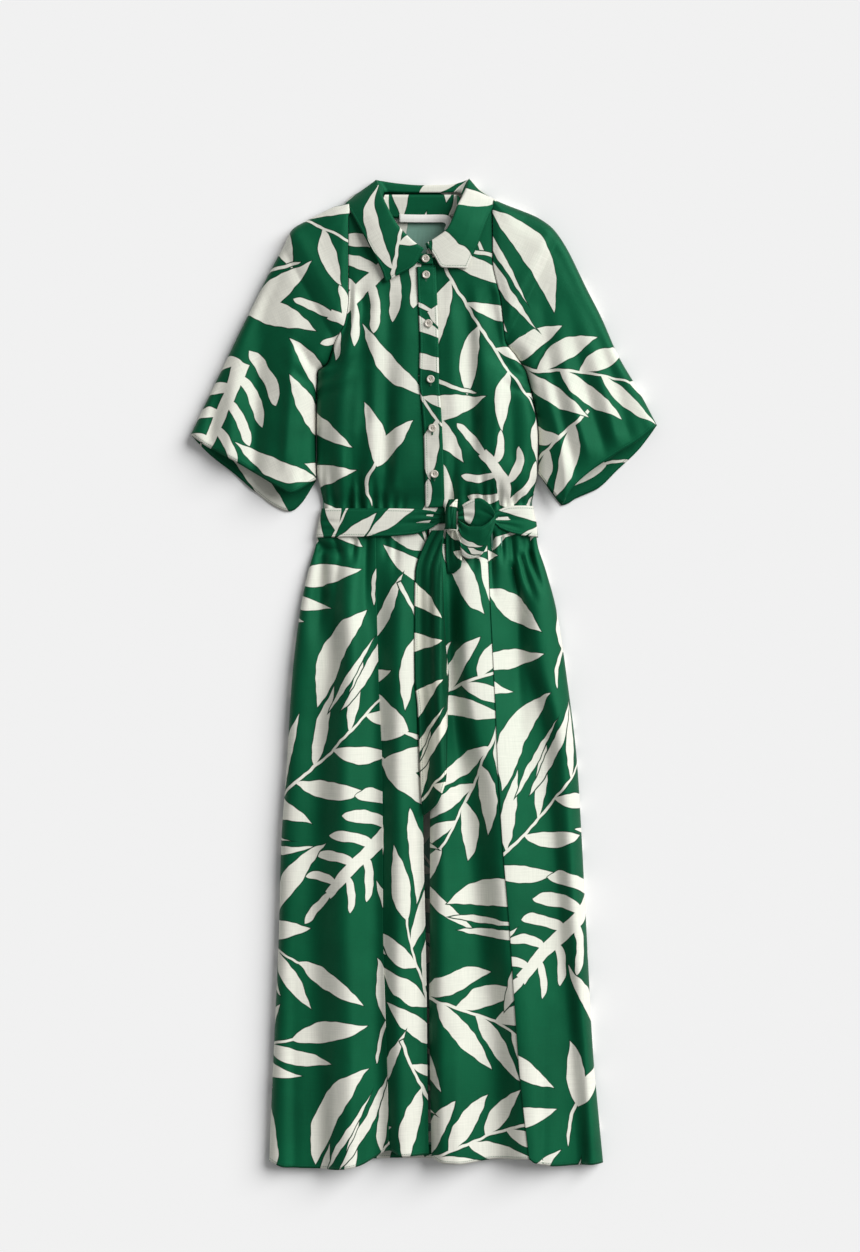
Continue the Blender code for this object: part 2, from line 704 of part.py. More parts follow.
def neck_label():
    points = []
    last = len(NECK_LABEL["x"]) - 1
    for at in np.linspace(0, last, 12):
        here = np.array([row(NECK_LABEL, "x", at), row(NECK_LABEL, "y", at)])
        after, before = min(at + 0.1, last), max(at - 0.1, 0)
        way = np.array([row(NECK_LABEL, axis, after) - row(NECK_LABEL, axis, before) for axis in "xy"])
        way /= np.linalg.norm(way)
        out = np.array([-way[1], way[0]]) * row(NECK_LABEL, "half", at)
        z = row(NECK_LABEL, "z", at)
        points.append([(*(here + out), z), (*here, z), (*(here - out), z)])
    return cloth("neck_label", points, TAPE, NECK_LABEL_WALL, flip=True)


# ---------------------------------------------------------------- belt


def moved_out(path, distance):
    """A path of (x, z) points moved to its left by a distance, with the corners kept."""
    path = np.array(path, float)
    step = np.diff(path, axis=0)
    step /= np.linalg.norm(step, axis=1)[:, None]
    side = np.stack([-step[:, 1], step[:, 0]], axis=1)
    at_point = np.vstack([side[:1], side[:-1] + side[1:], side[-1:]])
    at_point /= np.linalg.norm(at_point, axis=1)[:, None]
    lean = np.vstack([np.ones((1, 1)), (at_point[1:-1] * side[1:]).sum(1)[:, None], np.ones((1, 1))])
    return path + at_point * distance / lean


def waist_section(y):
    """(x, z) round the body at y: from the knot over the right side, the back and the left side."""
    left, right = read(BODY, "left", y), read(BODY, "right", y)
    over_right = [left + d for d in reversed(spread(FRONT_NEAR, SIDE_REACH, BELT_START - left, 4))]
    over_left = [right - d for d in spread(FRONT_NEAR, SIDE_REACH, right - BELT_FINISH, 4)]
    path = [(x, height(x, y)) for x in over_right]
    path += [(left + d, underside(left + d, y)) for d in BACK_NEAR]
    path += [(right - d, underside(right - d, y)) for d in reversed(BACK_NEAR)]
    path += [(x, height(x, y)) for x in over_left]
    return moved_out(path, -BELT_CLEAR)


def belt_band():
    middle = waist_section(0)
    back = (len(FRONT_NEAR) + 4, len(middle) - len(FRONT_NEAR) - 4)
    points = []
    for part in (0, 0.33, 0.67, 1):
        line = []
        for i, (x, _) in enumerate(middle):
            top, bottom = BELT_BACK_TOP, BELT_BACK_BOTTOM
            if i < back[0] or i >= back[1]:
                half = BELT_FRONT_RIGHT if i < back[0] else BELT_FRONT_LEFT
                top, bottom = read(half, "top", x, "x"), read(half, "bottom", x, "x")
            y = top + (bottom - top) * part
            x, z = waist_section(y)[i]
            line.append((x, y, z))
        points.append(line)
    return cloth("belt_band", points, flip=True)


def belt_knot():
    """The belt wrapped once round its own crossing, gathered narrow."""
    points = []
    for at in np.linspace(0, len(KNOT["y"]) - 1, 7):
        left, right, y, low, high = (row(KNOT, name, at) for name in "left right y low high".split())
        line = []
        for angle in np.radians(np.linspace(KNOT_OPEN / 2 - 90, 270 - KNOT_OPEN / 2, 13)):
            wide = math.copysign(abs(math.cos(angle)) ** KNOT_SQUARE, math.cos(angle))
            tall = math.copysign(abs(math.sin(angle)) ** KNOT_SQUARE, math.sin(angle))
            x = (left + right) / 2 + (right - left) / 2 * wide
            line.append((x, y, (low + high) / 2 + (high - low) / 2 * tall))
        points.append(line)
    return cloth("belt_knot", points, flip=True)


def belt_loop():
    points = []
    for at in np.linspace(0, len(LOOP["x"]) - 1, 19):
        x = row(LOOP, "x", at)
        top, bottom = row(LOOP, "top", at), row(LOOP, "bottom", at)
        top_z, bottom_z = row(LOOP, "top_z", at), row(LOOP, "bottom_z", at)
        line = []
        for part in (0, 0.25, 0.5, 0.75, 1):
            line.append((x, top + (bottom - top) * part, top_z + (bottom_z - top_z) * part))
        points.append(line)
    return cloth("belt_loop", points)


def belt_tail(name, columns, rise, stops):
    """A free end of the belt, lying on the centre of the skirt."""
    on_skirt = LIE + GAP - PLEAT_DROP - PLEAT_STEP
    points = []
    for at in np.linspace(0, len(columns["y"]) - 1, stops):
        y, left, right = (row(columns, name, at) for name in ("y", "left", "right"))
        across = [left + (right - left) * part for part in (0, 0.33, 0.67, 1)]
        lifted = on_skirt + rise * (1 - ramp(-y / 60))
        points.append([(x, y, height(x, y) + lifted) for x in across])
    return cloth(name, points)


# ---------------------------------------------------------------- buttons


def button(name, x, y, base):
    """A dished disc with four holes, lathed about its own axis."""
    radius, tall = BUTTON_RADIUS * MM, BUTTON_HEIGHT * MM
    profile = [(0, 0), (0.72, 0), (1, 0.34), (1, 0.66), (0.86, 1), (0.66, 0.78), (0, 0.74)]
    mesh = bpy.data.meshes.new(name)
    shape = bmesh.new()
    points = [shape.verts.new((part * radius, 0, level * tall)) for part, level in profile]
    edges = [shape.edges.new(pair) for pair in zip(points, points[1:])]
    bmesh.ops.spin(
        shape, geom=points + edges, axis=(0, 0, 1), cent=(0, 0, 0), steps=BUTTON_SIDES, angle=math.tau
    )
    bmesh.ops.remove_doubles(shape, verts=shape.verts, dist=1e-6)
    bmesh.ops.recalc_face_normals(shape, faces=shape.faces)
    shape.to_mesh(mesh)
    shape.free()
    made = add(name, mesh, SHELL)
    made.location = (x * MM, y * MM, base * MM)
    cut = made.modifiers.new("holes", "BOOLEAN")
    cut.operation = "DIFFERENCE"
    cut.solver = "EXACT"
    cut.object = button_cutter(name, made.location)
    return made


def button_cutter(name, location):
    mesh = bpy.data.meshes.new(name + "_holes")
    shape = bmesh.new()
    for turn in range(4):
        angle = math.pi / 4 + turn * math.pi / 2
        made = bmesh.ops.create_cone(
            shape, cap_ends=True, segments=6, radius1=BUTTON_HOLE * MM, radius2=BUTTON_HOLE * MM,
            depth=3 * BUTTON_HEIGHT * MM,
        )
        shift = (
            BUTTON_HOLE_SPREAD * MM * math.cos(angle), BUTTON_HOLE_SPREAD * MM * math.sin(angle), 0,
        )
        bmesh.ops.translate(shape, verts=made["verts"], vec=shift)
    shape.to_mesh(mesh)
    shape.free()
    cutter = bpy.data.objects.new(name + "_holes", mesh)
    bpy.context.scene.collection.objects.link(cutter)
    cutter.parent = dress
    cutter.location = location
    cutter.hide_render = True
    cutter.display_type = "WIRE"
    return cutter


# ---------------------------------------------------------------- the dress

bodice_back()
skirt_back()
bodice_front("front_bodice_right", "left", "right", no_sink, True)
bodice_front("front_bodice_left", "right", "left", under_lap, False)
placket()
skirt_front("front_skirt_right", "left", "pleat_left", "slit_left", HEM_LEFT, 1)
skirt_front("front_skirt_left", "right", "pleat_right", "slit_right", HEM_RIGHT, -1)
sleeve("sleeve_right", SLEEVE_RIGHT, CUFF_RIGHT, "left", True)
sleeve("sleeve_left", SLEEVE_LEFT, CUFF_LEFT, "right", False)
collar_stand()
collar()
neck_label()
belt_band()
belt_knot()
belt_loop()
belt_tail("belt_tail_long", TAIL_LONG, TAIL_LONG_RISE, 18)
belt_tail("belt_tail_short", TAIL_SHORT, TAIL_SHORT_RISE, 7)
for number, (x, y) in enumerate(zip(BUTTONS["x"], BUTTONS["y"]), 1):
    seat = STAND_BUTTON_SEAT if number == 1 else height(x, y) + LIE + GAP
    button(f"button_{number}", x, y, seat)
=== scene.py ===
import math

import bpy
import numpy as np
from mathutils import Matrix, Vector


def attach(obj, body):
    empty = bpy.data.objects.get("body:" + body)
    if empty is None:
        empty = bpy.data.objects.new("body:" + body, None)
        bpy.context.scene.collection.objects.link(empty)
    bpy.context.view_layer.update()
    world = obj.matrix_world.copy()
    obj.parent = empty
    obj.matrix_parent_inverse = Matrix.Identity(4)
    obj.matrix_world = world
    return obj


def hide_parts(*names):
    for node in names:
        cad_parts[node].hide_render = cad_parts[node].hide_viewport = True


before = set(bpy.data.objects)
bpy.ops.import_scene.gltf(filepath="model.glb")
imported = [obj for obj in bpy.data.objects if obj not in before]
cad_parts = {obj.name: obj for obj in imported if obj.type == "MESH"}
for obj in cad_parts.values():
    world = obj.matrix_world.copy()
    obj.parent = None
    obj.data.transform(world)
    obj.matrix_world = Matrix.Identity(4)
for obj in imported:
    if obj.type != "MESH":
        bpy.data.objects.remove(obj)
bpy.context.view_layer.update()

# Looks of the shirt dress: printed viscose panels with their folds, the tie belt with its bow, the collar,
# the shell buttons and the tape label, laid flat on a pale floor.
# Tables and forms are in millimetres, in the frame of the CAD: +Y to the collar, +X to the wearer's left.

MM = 0.001
FAR = 1000.0  # distance from an edge, where no edge of the piece is stitched
SEAM = 0.6  # how far each edge stays from the middle of a seam
LIE = 1.9  # how far a layer lies above the one under it
CLOTH = 0.6  # thickness of the cloth, and where it is turned over and stitched
HEM = 1.15
EDGE_POWER = 2.3  # squareness of a rounded edge
SIDE_REACH = 32.0  # width over which a side rounds up to the crown
BACK_REACH = 14.0  # width over which the back rounds up to the side seam
RAGLAN_REACH = 12.0
RAGLAN_DIP = 2.8  # of the crease at a raglan seam, less near the neck
CROWN_FALL = 8.0  # of the skirt's crown, from the middle to the sides
BELT_CLEAR = 2.05  # of the belt's outer face from the body's
SLEEVE_CLEAR = 0.45  # of a sleeve from the bodice along their seam
BODICE_LEVEL = 262.0  # up to here the bodice's rows are level, above they follow the neckline
NECKLINE_LOW = 338.0
HEM_LEVEL = 840.0
PLEAT_DEPTH = 32.0  # how far a pleat's cloth runs back under its fold
PLEAT_DROP = 1.5  # from the fold down to the cloth that runs back
PLEAT_STEP = 0.25  # and from there down to the cloth in the centre
SLIT_DIP = 3.0  # how much the centre falls towards the opening
SLIT_REACH = 18.0  # over this width
SLIT_FACING = 13.0  # how far the edges of the opening hang down into it
LAP_WIDTH = 16.0  # over which the left front comes up again beside the lap
LAP_SPARE = 6.0  # how far past the placket it stays down
LAP_DROP = LIE + 0.3
PLACKET_BASE = 20.6  # y of its lower end
FOLD_DEPTH = 2.0  # scales of the tables of folds and of the skirt's waves
WAVE_DEPTH = 2.8
BUTTON_HOLE = 0.75  # radius of a hole, and its distance from the button's middle
BUTTON_HOLE_SPREAD = 1.35


def table(names, *rows):
    """A table's columns by name."""
    return dict(zip(names.split(), np.array(rows, float).T))


# Outline of the body seen from above, the height of its crown, and the height of its two edges.
BODY = table(
    "y left right crown left_rim right_rim",
    (-840, -209, 230.6, 30, 6, 6),
    (-803, -207.8, 227, 31, 6, 6),
    (-690, -203, 217, 33, 6, 6),
    (-547, -196.7, 209.4, 34, 6, 6),
    (-424, -193.4, 203, 34, 6, 6),
    (-315, -185.8, 196.4, 33, 6, 6),
    (-206, -179.2, 183.3, 32, 6, 6),
    (-113, -168, 169, 29, 6, 6),
    (-61, -157.2, 155, 25, 6, 6),
    (-26, -147.3, 144, 20, 6, 6),
    (0, -142.5, 141, 20, 6, 6),
    (24, -137.9, 136.8, 20, 6, 6),
    (47, -142, 141, 26, 6, 6),
    (64, -146, 143.6, 29, 6, 6),
    (110, -146.6, 144.6, 32, 6, 7),
    (126, -146.6, 143.8, 33, 6, 8),
    (151, -146.6, 139.8, 34, 6, 9),
    (177, -146.3, 135, 34, 6, 10),
    (200, -145, 128.8, 34, 7, 11),
    (209, -132.6, 123, 34, 12, 12),
    (220, -128, 115.4, 34, 13, 13),
    (239, -121.6, 101.2, 34, 14, 14),
    (263, -108.6, 98.4, 33, 14, 14),
    (293, -104.2, 95, 31, 14, 14),
    (346, -104.2, 84.4, 29, 14, 14),
    (400, -104.2, 84.4, 25, 13, 13),
    (426, -91, 83, 19, 12, 12),
)

# Skirt front: knife pleat folds that face the centre front, and the two edges of its opening.
SKIRT = table(
    "y pleat_left pleat_right slit_left slit_right",
    (0, -69, 77, -1, 1),
    (-101, -67.5, 81.4, -4, 3.6),
    (-230, -64, 87.6, -6, 3),
    (-315, -60.5, 91, -6.2, 2.8),
    (-402, -59.5, 95.8, -6, 2.6),
    (-547, -59, 107.3, -3.2, 2.4),
    (-634, -56.5, 112.9, -1.6, 1.6),
    (-725, -53.6, 119.5, -0.8, 2.6),
    (-840, -50.6, 132.2, 1.2, 4.6),
)

# Length of the skirt front below the waist, across its width at the hem.
HEM_LEFT = table(
    "x drop",
    (-209, 838), (-189, 846), (-130, 848), (-91, 843), (-69, 832), (-50.6, 823), (-34, 830), (3, 829),
)
HEM_RIGHT = table(
    "x drop",
    (4, 831), (18, 838), (46, 840), (80, 836), (119, 834), (132, 833), (139, 838), (173, 844), (231, 841),
)
BACK_HEM = 836.0

# Front edge of the bodice above the level rows: height of the neckline across each front.
NECKLINE = table(
    "across left right",
    (0, 424, 423),
    (0.07, 422, 418),
    (0.2, 417, 409),
    (0.4, 402, 397),
    (0.58, 374, 372),
    (0.76, 352, 352),
    (1, 338, 339),
)

# Button placket, which is also the lap of the wearer's right front over the left.
PLACKET = table(
    "y left right",
    (0, -3, 22.5),
    (62, -4.3, 20.8),
    (113, -5.6, 19),
    (163, -9.5, 16),
    (182, -11.6, 14.4),
    (232, -10.8, 13.8),
    (309, -14, 11.4),
    (338, -15, 10.4),
)

# Raglan sleeves, from the neck to the cuff. outer is the shoulder or upper edge and inner the raglan
# seam, then the underarm. slack is how much of the cuff's drop a row takes.
SLEEVE = "outer_x outer_y inner_y inner_z crown slack"
SLEEVE_RIGHT = table(
    SLEEVE,
    (-104, 420.5, 408, 12, 13, 0),
    (-121, 417.5, 383.5, 14, 17, 0),
    (-141, 408.5, 343, 14, 21, 0),
    (-161.5, 397.8, 302.5, 14, 23, 0),
    (-179, 386.7, 262, 14, 25, 0),
    (-190, 365, 242, 13.5, 26, 0),
    (-201, 345, 222, 12.5, 27, 0),
    (-213, 322, 209, 11, 27, 0),
    (-226, 296, 200, 6.4, 27, 0.03),
    (-246, 256, 165, 5, 27, 0.15),
    (-268, 210, 130, 5, 26, 0.38),
    (-291, 162, 95, 5, 26, 0.7),
    (-312.5, 117, 60, 5, 25, 1),
)
SLEEVE_LEFT = table(
    SLEEVE,
    (86.2, 426.4, 412, 12, 13, 0),
    (104, 419, 383.5, 14, 17, 0),
    (124, 411.5, 343, 14, 21, 0),
    (143, 403.5, 302.5, 14, 23, 0),
    (162.4, 390.2, 262, 14, 25, 0),
    (172, 379, 242, 13.5, 26, 0),
    (184, 360, 222, 12.5, 27, 0),
    (196, 336, 209, 12, 27, 0),
    (209, 309, 200, 10.5, 27, 0.03),
    (228, 272, 165, 8, 27, 0.15),
    (250, 222, 130, 6, 26, 0.38),
    (278, 174, 97, 5, 26, 0.7),
    (301.6, 129.3, 68, 5, 25, 1),
)
# How far the cuff hangs below the line from its inner to its outer corner, front and back.
CUFF_RIGHT = table(
    "across front back",
    (0, 2, 2),
    (0.05, 14, 38),
    (0.1, 25, 52),
    (0.155, 32, 55),
    (0.22, 30, 54),
    (0.4, 23, 44),
    (0.6, 15.5, 30),
    (0.8, 10, 18),
    (0.92, 5, 8),
    (1, 0, 0),
)
CUFF_LEFT = table(
    "across front back",
    (0, 2, 2),
    (0.05, 34, 36),
    (0.085, 51, 53),
    (0.13, 45, 53.5),
    (0.2, 37, 51),
    (0.36, 26, 50),
    (0.6, 16.7, 35),
    (0.8, 10.5, 21),
    (0.92, 5, 9),
    (1, 0, 0),
)

# The neck run, from the wearer's right front, round the back, to the left front. NECK has the stand's
# lower edge (neck) and upper edge (seam), COLLAR the seam, the roll, the middle and the outer edge.
NECK = table(
    "neck_x neck_y neck_z seam_x seam_y seam_z",
    (7, 339, 31.5, 5, 352, 31.8),
    (-8, 339, 31.5, -10, 353, 31.8),
    (-24, 350, 31, -21, 362, 31.6),
    (-42, 370, 30, -40, 383, 31.2),
    (-58, 394, 28.4, -53, 404, 29),
    (-68, 410, 25.6, -57, 422, 21),
    (-66, 419, 11, -56, 432, 11.5),
    (-46, 403, 4, -48, 433, 7),
    (-8, 400.2, 3.6, -8, 433, 7),
    (30, 403, 4, 30, 433, 7),
    (48, 419, 11, 38, 432, 11.5),
    (53, 410, 25.6, 38, 421, 20),
    (44, 393, 28.4, 34, 402, 29),
    (34, 372, 30, 26, 383, 30.8),
    (18, 352, 29.9, 12, 366, 30.2),
    (2, 346.5, 29.4, -3, 357, 29.4),
)
COLLAR = table(
    "seam_x seam_y inner_z roll_x roll_y outer_z mid_x mid_y mid_z edge_x edge_y edge_z",
    (-12, 356, 34.8, -5.3, 359, 39.8, -17, 337, 38, -56.3, 314.2, 34.6),
    (-22, 365.5, 34.8, -17.1, 367, 39.8, -37, 346, 40, -59, 326, 37.6),
    (-43, 388.5, 34.4, -39.4, 390, 39.6, -58, 374, 40.6, -75.9, 360.9, 38.6),
    (-54, 405, 32.4, -49.9, 408.3, 37.4, -70, 395, 38, -89, 385, 34.6),
    (-60, 421, 24.6, -57.5, 424, 29.6, -80, 413, 30, -100.5, 406, 27),
    (-59, 430, 16.5, -63.5, 440, 19.5, -86, 429, 20, -108.3, 421, 15.5),
    (-57, 436, 11, -68.4, 452.2, 9.5, -84.4, 440.5, 9, -106, 426, 7.5),
    (-51, 436.5, 7, -60, 451.2, 3, -74, 442, 1, -88, 436.5, 0.4),
    (-36, 436, 7, -40, 448.4, 0, -44, 428, 0, -48, 408, 0),
    (-8, 436, 7, -8, 446, 0, -8, 428, 0, -8, 405, 0),
    (22, 436, 7, 26, 446.6, 0, 29, 428, 0, 32, 408, 0),
    (36, 436.5, 7, 46, 450.4, 3, 57, 442.6, 1, 69, 436.2, 0.4),
    (41, 436, 11, 54.2, 453.6, 9.5, 66, 441.6, 9, 85, 427, 7.5),
    (44, 429, 17.6, 47.7, 434.9, 23, 68, 429, 23, 90, 424, 19.5),
    (41, 412, 29, 37.2, 413.7, 34.4, 58, 409, 31.6, 81, 405, 26.6),
    (34, 395, 32.4, 31.1, 397.2, 37.4, 52, 387, 36.4, 73.3, 386, 31),
    (27, 382, 33.8, 23.6, 383.7, 38.8, 43, 368, 37.6, 65.8, 365.5, 32.8),
    (13, 369, 33.2, 10, 373.4, 38.2, 29, 354, 37.6, 55.5, 343, 33.4),
    (-1, 358.5, 32.9, -3.5, 365.5, 37.8, 19, 334, 36.6, 51.7, 333.4, 33.4),
)

ROLL_RADIUS = 2.2  # of the collar's fold
ROLL_FLAT = 0.2  # how little the cloth has turned at that distance, as a share
LEAF_PUFF = 0.4  # how much a collar leaf bulges between its middle and its edge
LABEL_CURL, LABEL_WAVE = 0.25, 0.3  # heights of the tape's curl across it and its waves along it
LABEL_WAVES = 2.6  # radians of those waves to a row of its table
NECK_LABEL = table(
    "x y z half",
    (-38, 402, 6.6, 5.2),
    (-8, 401.6, 6.4, 5.2),
    (16, 401.8, 6.6, 5.2),
    (25, 400, 7.4, 5.4),
    (28.5, 393, 9, 4.8),
    (25, 385, 11.5, 4.2),
)

# Belt: the band round the waist. x runs over the front, from the wearer's right to the left; the knot
# takes both ends. Round the sides and the back the band has its full width.
BELT_FRONT_RIGHT = table(
    "x top bottom",
    (-145, 19.7, -18.4), (-60, 19.5, -17.5), (-20, 18.6, -15), (2, 16.5, -8), (18, 12, 3),
)
BELT_FRONT_LEFT = table(
    "x top bottom",
    (41, 10, -1),
    (60, 11, -1),
    (86, 12.6, 1),
    (95, 17, -7),
    (113, 23, -14),
    (132, 23.4, -17),
    (145, 22.4, -17.6),
)
BELT_BACK_TOP = 19.7
BELT_BACK_BOTTOM = -18.4
BELT_START = 18.0  # x of the right half's end at the knot
BELT_FINISH = 41.0  # x of the left half's end at the knot
KNOT = table(
    "y left right low high",
    (31, 27, 39, 24.6, 33),
    (23, 23.5, 38.5, 23.4, 37),
    (10, 22, 37.5, 23.4, 39),
    (-1, 22.5, 37, 23.4, 38),
    (-8, 21, 38, 24, 34),
)
KNOT_OPEN = 16  # degrees left open under the knot, and how square its section is
KNOT_SQUARE = 0.8
LOOP = table(
    "x top bottom top_z bottom_z",
    (39.4, 18, 4, 28, 27),
    (50, 27, -1, 34, 25),
    (66, 32.6, -8.5, 36, 24.6),
    (79, 26, -6.5, 34, 26),
    (87.6, 11.5, -2, 33, 32),
    (82, 3, -19, 39, 36),
    (68, -5, -43.5, 41, 33),
    (55, -5, -47, 41, 31),
    (45, 0, -43, 40, 31),
    (39.6, 3.5, -16, 37, 33.5),
)
TAIL_LONG = table(
    "y left right",
    (-9.5, 4.5, 21),
    (-30, -6, 19),
    (-64, -16.7, 19.5),
    (-101, -17.5, 20.5),
    (-161, -17.6, 23.6),
    (-205, -17.2, 27.4),
    (-240, -13.6, 26),
    (-306, -11.3, 25),
    (-332, -10.4, 24.2),
    (-366, -8.6, 12),
    (-382, -7.4, -5.4),
)
TAIL_SHORT = table(
    "y left right",
    (-9.5, 23.4, 36),
    (-24, 22.8, 42),
    (-44, 23, 44),
    (-56, 24.4, 43),
    (-66, 25.4, 33),
)
TAIL_CLEAR = 1.4
TAIL_TILT = 5.0  # how much higher the edge nearer the wearer's left lies
TAIL_LEVEL = 0.1  # where across a tail that tilt starts from its own height
TAIL_LONG_RISE = 4.0  # how much higher each tail is at the knot
TAIL_SHORT_RISE = 2.0
BUTTONS = table("x y", (-3.3, 346), (-2.6, 325), (0.7, 261), (3.4, 188), (5.6, 124), (8.4, 64))
STAND_BUTTON_SEAT = 34.4  # height of the first button, which is on the collar stand
BUTTON_OVER = 0.75  # height of the others over the placket
BUTTON_PULL = 2.2  # how far above the middle of its buttonhole a button sits
STITCH_SINK = 0.1  # how deep a buttonhole's stitches sit in the cloth

# ---------------- curves


def through(stations, values, at):
    """A smooth curve through a table's column. It never overshoots the values it passes."""
    order = np.argsort(stations)
    x, y = np.asarray(stations)[order], np.asarray(values)[order]
    step = np.diff(x)
    slope = np.diff(y) / step
    tangent = np.zeros(len(x))
    tangent[0], tangent[-1] = slope[0], slope[-1]
    same = slope[:-1] * slope[1:] > 0
    before, after = 2 * step[1:] + step[:-1], step[1:] + 2 * step[:-1]
    mean = np.zeros(len(slope) - 1)
    mean[same] = (before + after)[same] / (before[same] / slope[:-1][same] + after[same] / slope[1:][same])
    tangent[1:-1] = mean
    at = np.clip(at, x[0], x[-1])
    k = np.clip(np.searchsorted(x, at, side="right") - 1, 0, len(step) - 1)
    s = (at - x[k]) / step[k]
    return (
        y[k] * (1 + 2 * s) * (1 - s) ** 2
        + y[k + 1] * s * s * (3 - 2 * s)
        + step[k] * s * (1 - s) * (tangent[k] * (1 - s) - tangent[k + 1] * s)
    )


def read(columns, name, at, by="y"):
    return through(columns[by], columns[name], at)


def row(columns, name, at):
    """A column read by row number, so that at=1.5 is half way from the second row to the third."""
    return through(np.arange(len(columns[name])), columns[name], at)


def ramp(value):
    value = np.clip(value, 0, 1)
    return value * value * (3 - 2 * value)


def risen(at, span):
    """A smooth step from 0 to 1. span is where it starts and how far it takes."""
    start, over = span
    return ramp((at - start) / over)


def quarter(value):
    """Rises steeply from 0 and flattens out at 1, a little squarer than an ellipse."""
    return (1 - (1 - np.clip(value, 0, 1)) ** EDGE_POWER) ** (1 / EDGE_POWER)


def grid(*coordinates):
    """Points from their coordinates, which are numbers, rows, columns or whole grids."""
    return np.stack(np.broadcast_arrays(*coordinates), axis=-1)


def lying_flat(near, wide, round_edge, between):
    """Distances across a panel from its edge: closest together where the edge rounds over."""
    turned = near * (1 - np.cos(np.linspace(0, math.pi / 2, round_edge)))
    rest = turned[-1] + (wide - turned[-1]) * np.linspace(0, 1, between + 1)[1:]
    return np.concatenate([turned, rest])


# ---------------- the body's form

BELT_SPAN = (23.0, 10.0)  # the back passes over the belt up to here, then comes down over this distance
RAGLAN_SPAN = (205.0, 60.0)  # the side's edge turns into the raglan seam's crease
RAGLAN_EASE = (280.0, 90.0)  # the crease gets shallower towards the neck
RAGLAN_EASED = 0.7  # by this share
CROWN_SPAN = (20.0, 60.0)  # the bodice's crown is flatter than the skirt's
CROWN_FLATTER = 0.8  # by this share
UNDERARM_SPAN = (188.0, 20.0)  # the side seam ends at the underarm
LATTICE = 64  # values each way in one repeat of the noise
LATTICE_START = (7.3, 3.1)


def lift(y):
    """The back's height off the surface: it passes over the belt."""
    return BELT_CLEAR * (1 - risen(np.abs(y), BELT_SPAN))


def side_reach(y):
    """Width over which the front rounds up from its edge: narrow along the raglan seams."""
    return SIDE_REACH + (RAGLAN_REACH - SIDE_REACH) * risen(y, RAGLAN_SPAN)


def raised_rim(rim, crown, y):
    """Height of the front's edge: along the raglan seams it is a shallow crease."""
    dip = RAGLAN_DIP * (1 - RAGLAN_EASED * risen(y, RAGLAN_EASE))
    return rim + (crown - dip - rim) * risen(y, RAGLAN_SPAN)


def height(x, y):
    """Height of the front's outer face over the surface."""
    left, right, crown = (read(BODY, name, y) for name in ("left", "right", "crown"))
    off_middle = (2 * x - left - right) / (right - left)
    crown = crown - CROWN_FALL * (1 - CROWN_FLATTER * risen(y, CROWN_SPAN)) * off_middle**2
    reach = side_reach(y)
    sides = []
    for rim, inside in (("left_rim", x - left), ("right_rim", right - x)):
        low = raised_rim(read(BODY, rim, y), crown, y)
        sides.append(low + (crown - low) * quarter(inside / reach))
    return np.minimum(*sides) + SEAM


def side_seam(y):
    """1 where the back rises to a side seam, 0 above the underarm, where it meets the sleeves flat."""
    return 1 - risen(y, UNDERARM_SPAN)


def underside(x, y):
    """Height of the back's outer face: flat, rounding up to the side seams."""
    left, right = read(BODY, "left", y), read(BODY, "right", y)
    near = np.minimum(x - left, right - x) / BACK_REACH
    rim = np.where(x - left < right - x, read(BODY, "left_rim", y), read(BODY, "right_rim", y)) - SEAM
    return lift(y) + (rim - lift(y)) * side_seam(y) * (1 - quarter(near))


def smooth_noise(x, y, size, seed):
    """Soft irregular waves between about -1 and 1, size across."""
    lattice = np.random.RandomState(seed).uniform(-1, 1, (LATTICE, LATTICE))
    u, v = np.asarray(x) / size + LATTICE_START[0], np.asarray(y) / size + LATTICE_START[1]
    i, j = np.floor(u).astype(int), np.floor(v).astype(int)
    a, b = ramp(u - i), ramp(v - j)
    at = lambda p, q: lattice[(i + p) % LATTICE, (j + q) % LATTICE]
    return (at(0, 0) * (1 - a) + at(1, 0) * a) * (1 - b) + (at(0, 1) * (1 - a) + at(1, 1) * a) * b


# ---------------- folds and waves

FOLD_WIDTH = (0.75, 0.6)  # of a fold at its start, and how much it grows by its end
FOLD_STARTS = (-0.15, 0.15)  # spans along a fold, as shares of its length
FOLD_FADES = (0.25, 0.75)
FOLD_POWER = 1.7  # squareness of a fold's section
# The cloth's own softness, as noises: height, stretch along y, size, seed.
SOFTNESS = {
    "front": ((0.75, 0.55, 46, 3), (0.28, 0.7, 17, 5)),
    "back": ((0.5, 1, 60, 11),),
    "placket": ((0.3, 1, 9, 21),),
    "sleeve": ((0.8, 1, 42, 31), (0.3, 1, 16, 32)),
    "belt_loop": ((0.3, 1, 9, 41),),
}
HELD_BY_BELT = (14.0, 16.0)  # the cloth is flat under the belt and free past it
NECK_CALM = (300.0, 60.0)  # near the neck the cloth is smoother, by the share below
NECK_CALMER = 0.6
SKIRT_WAVES_GROW = (14.0, 130.0)  # below the waist
BODICE_WAVES_GROW = (30.0, 50.0)
BODICE_WAVES_END = (270.0, 60.0)
BACK_HELD = (4.0, 20.0)  # the back's folds start this far from the waist
BACK_EDGE = 24.0  # and are flat at the side seams, up to full depth this far in
BACK_LOOSE = 0.5


def soft(x, y, name):
    noises = SOFTNESS[name]
    return sum(high * smooth_noise(x, y * stretch, size, seed) for high, stretch, size, seed in noises)


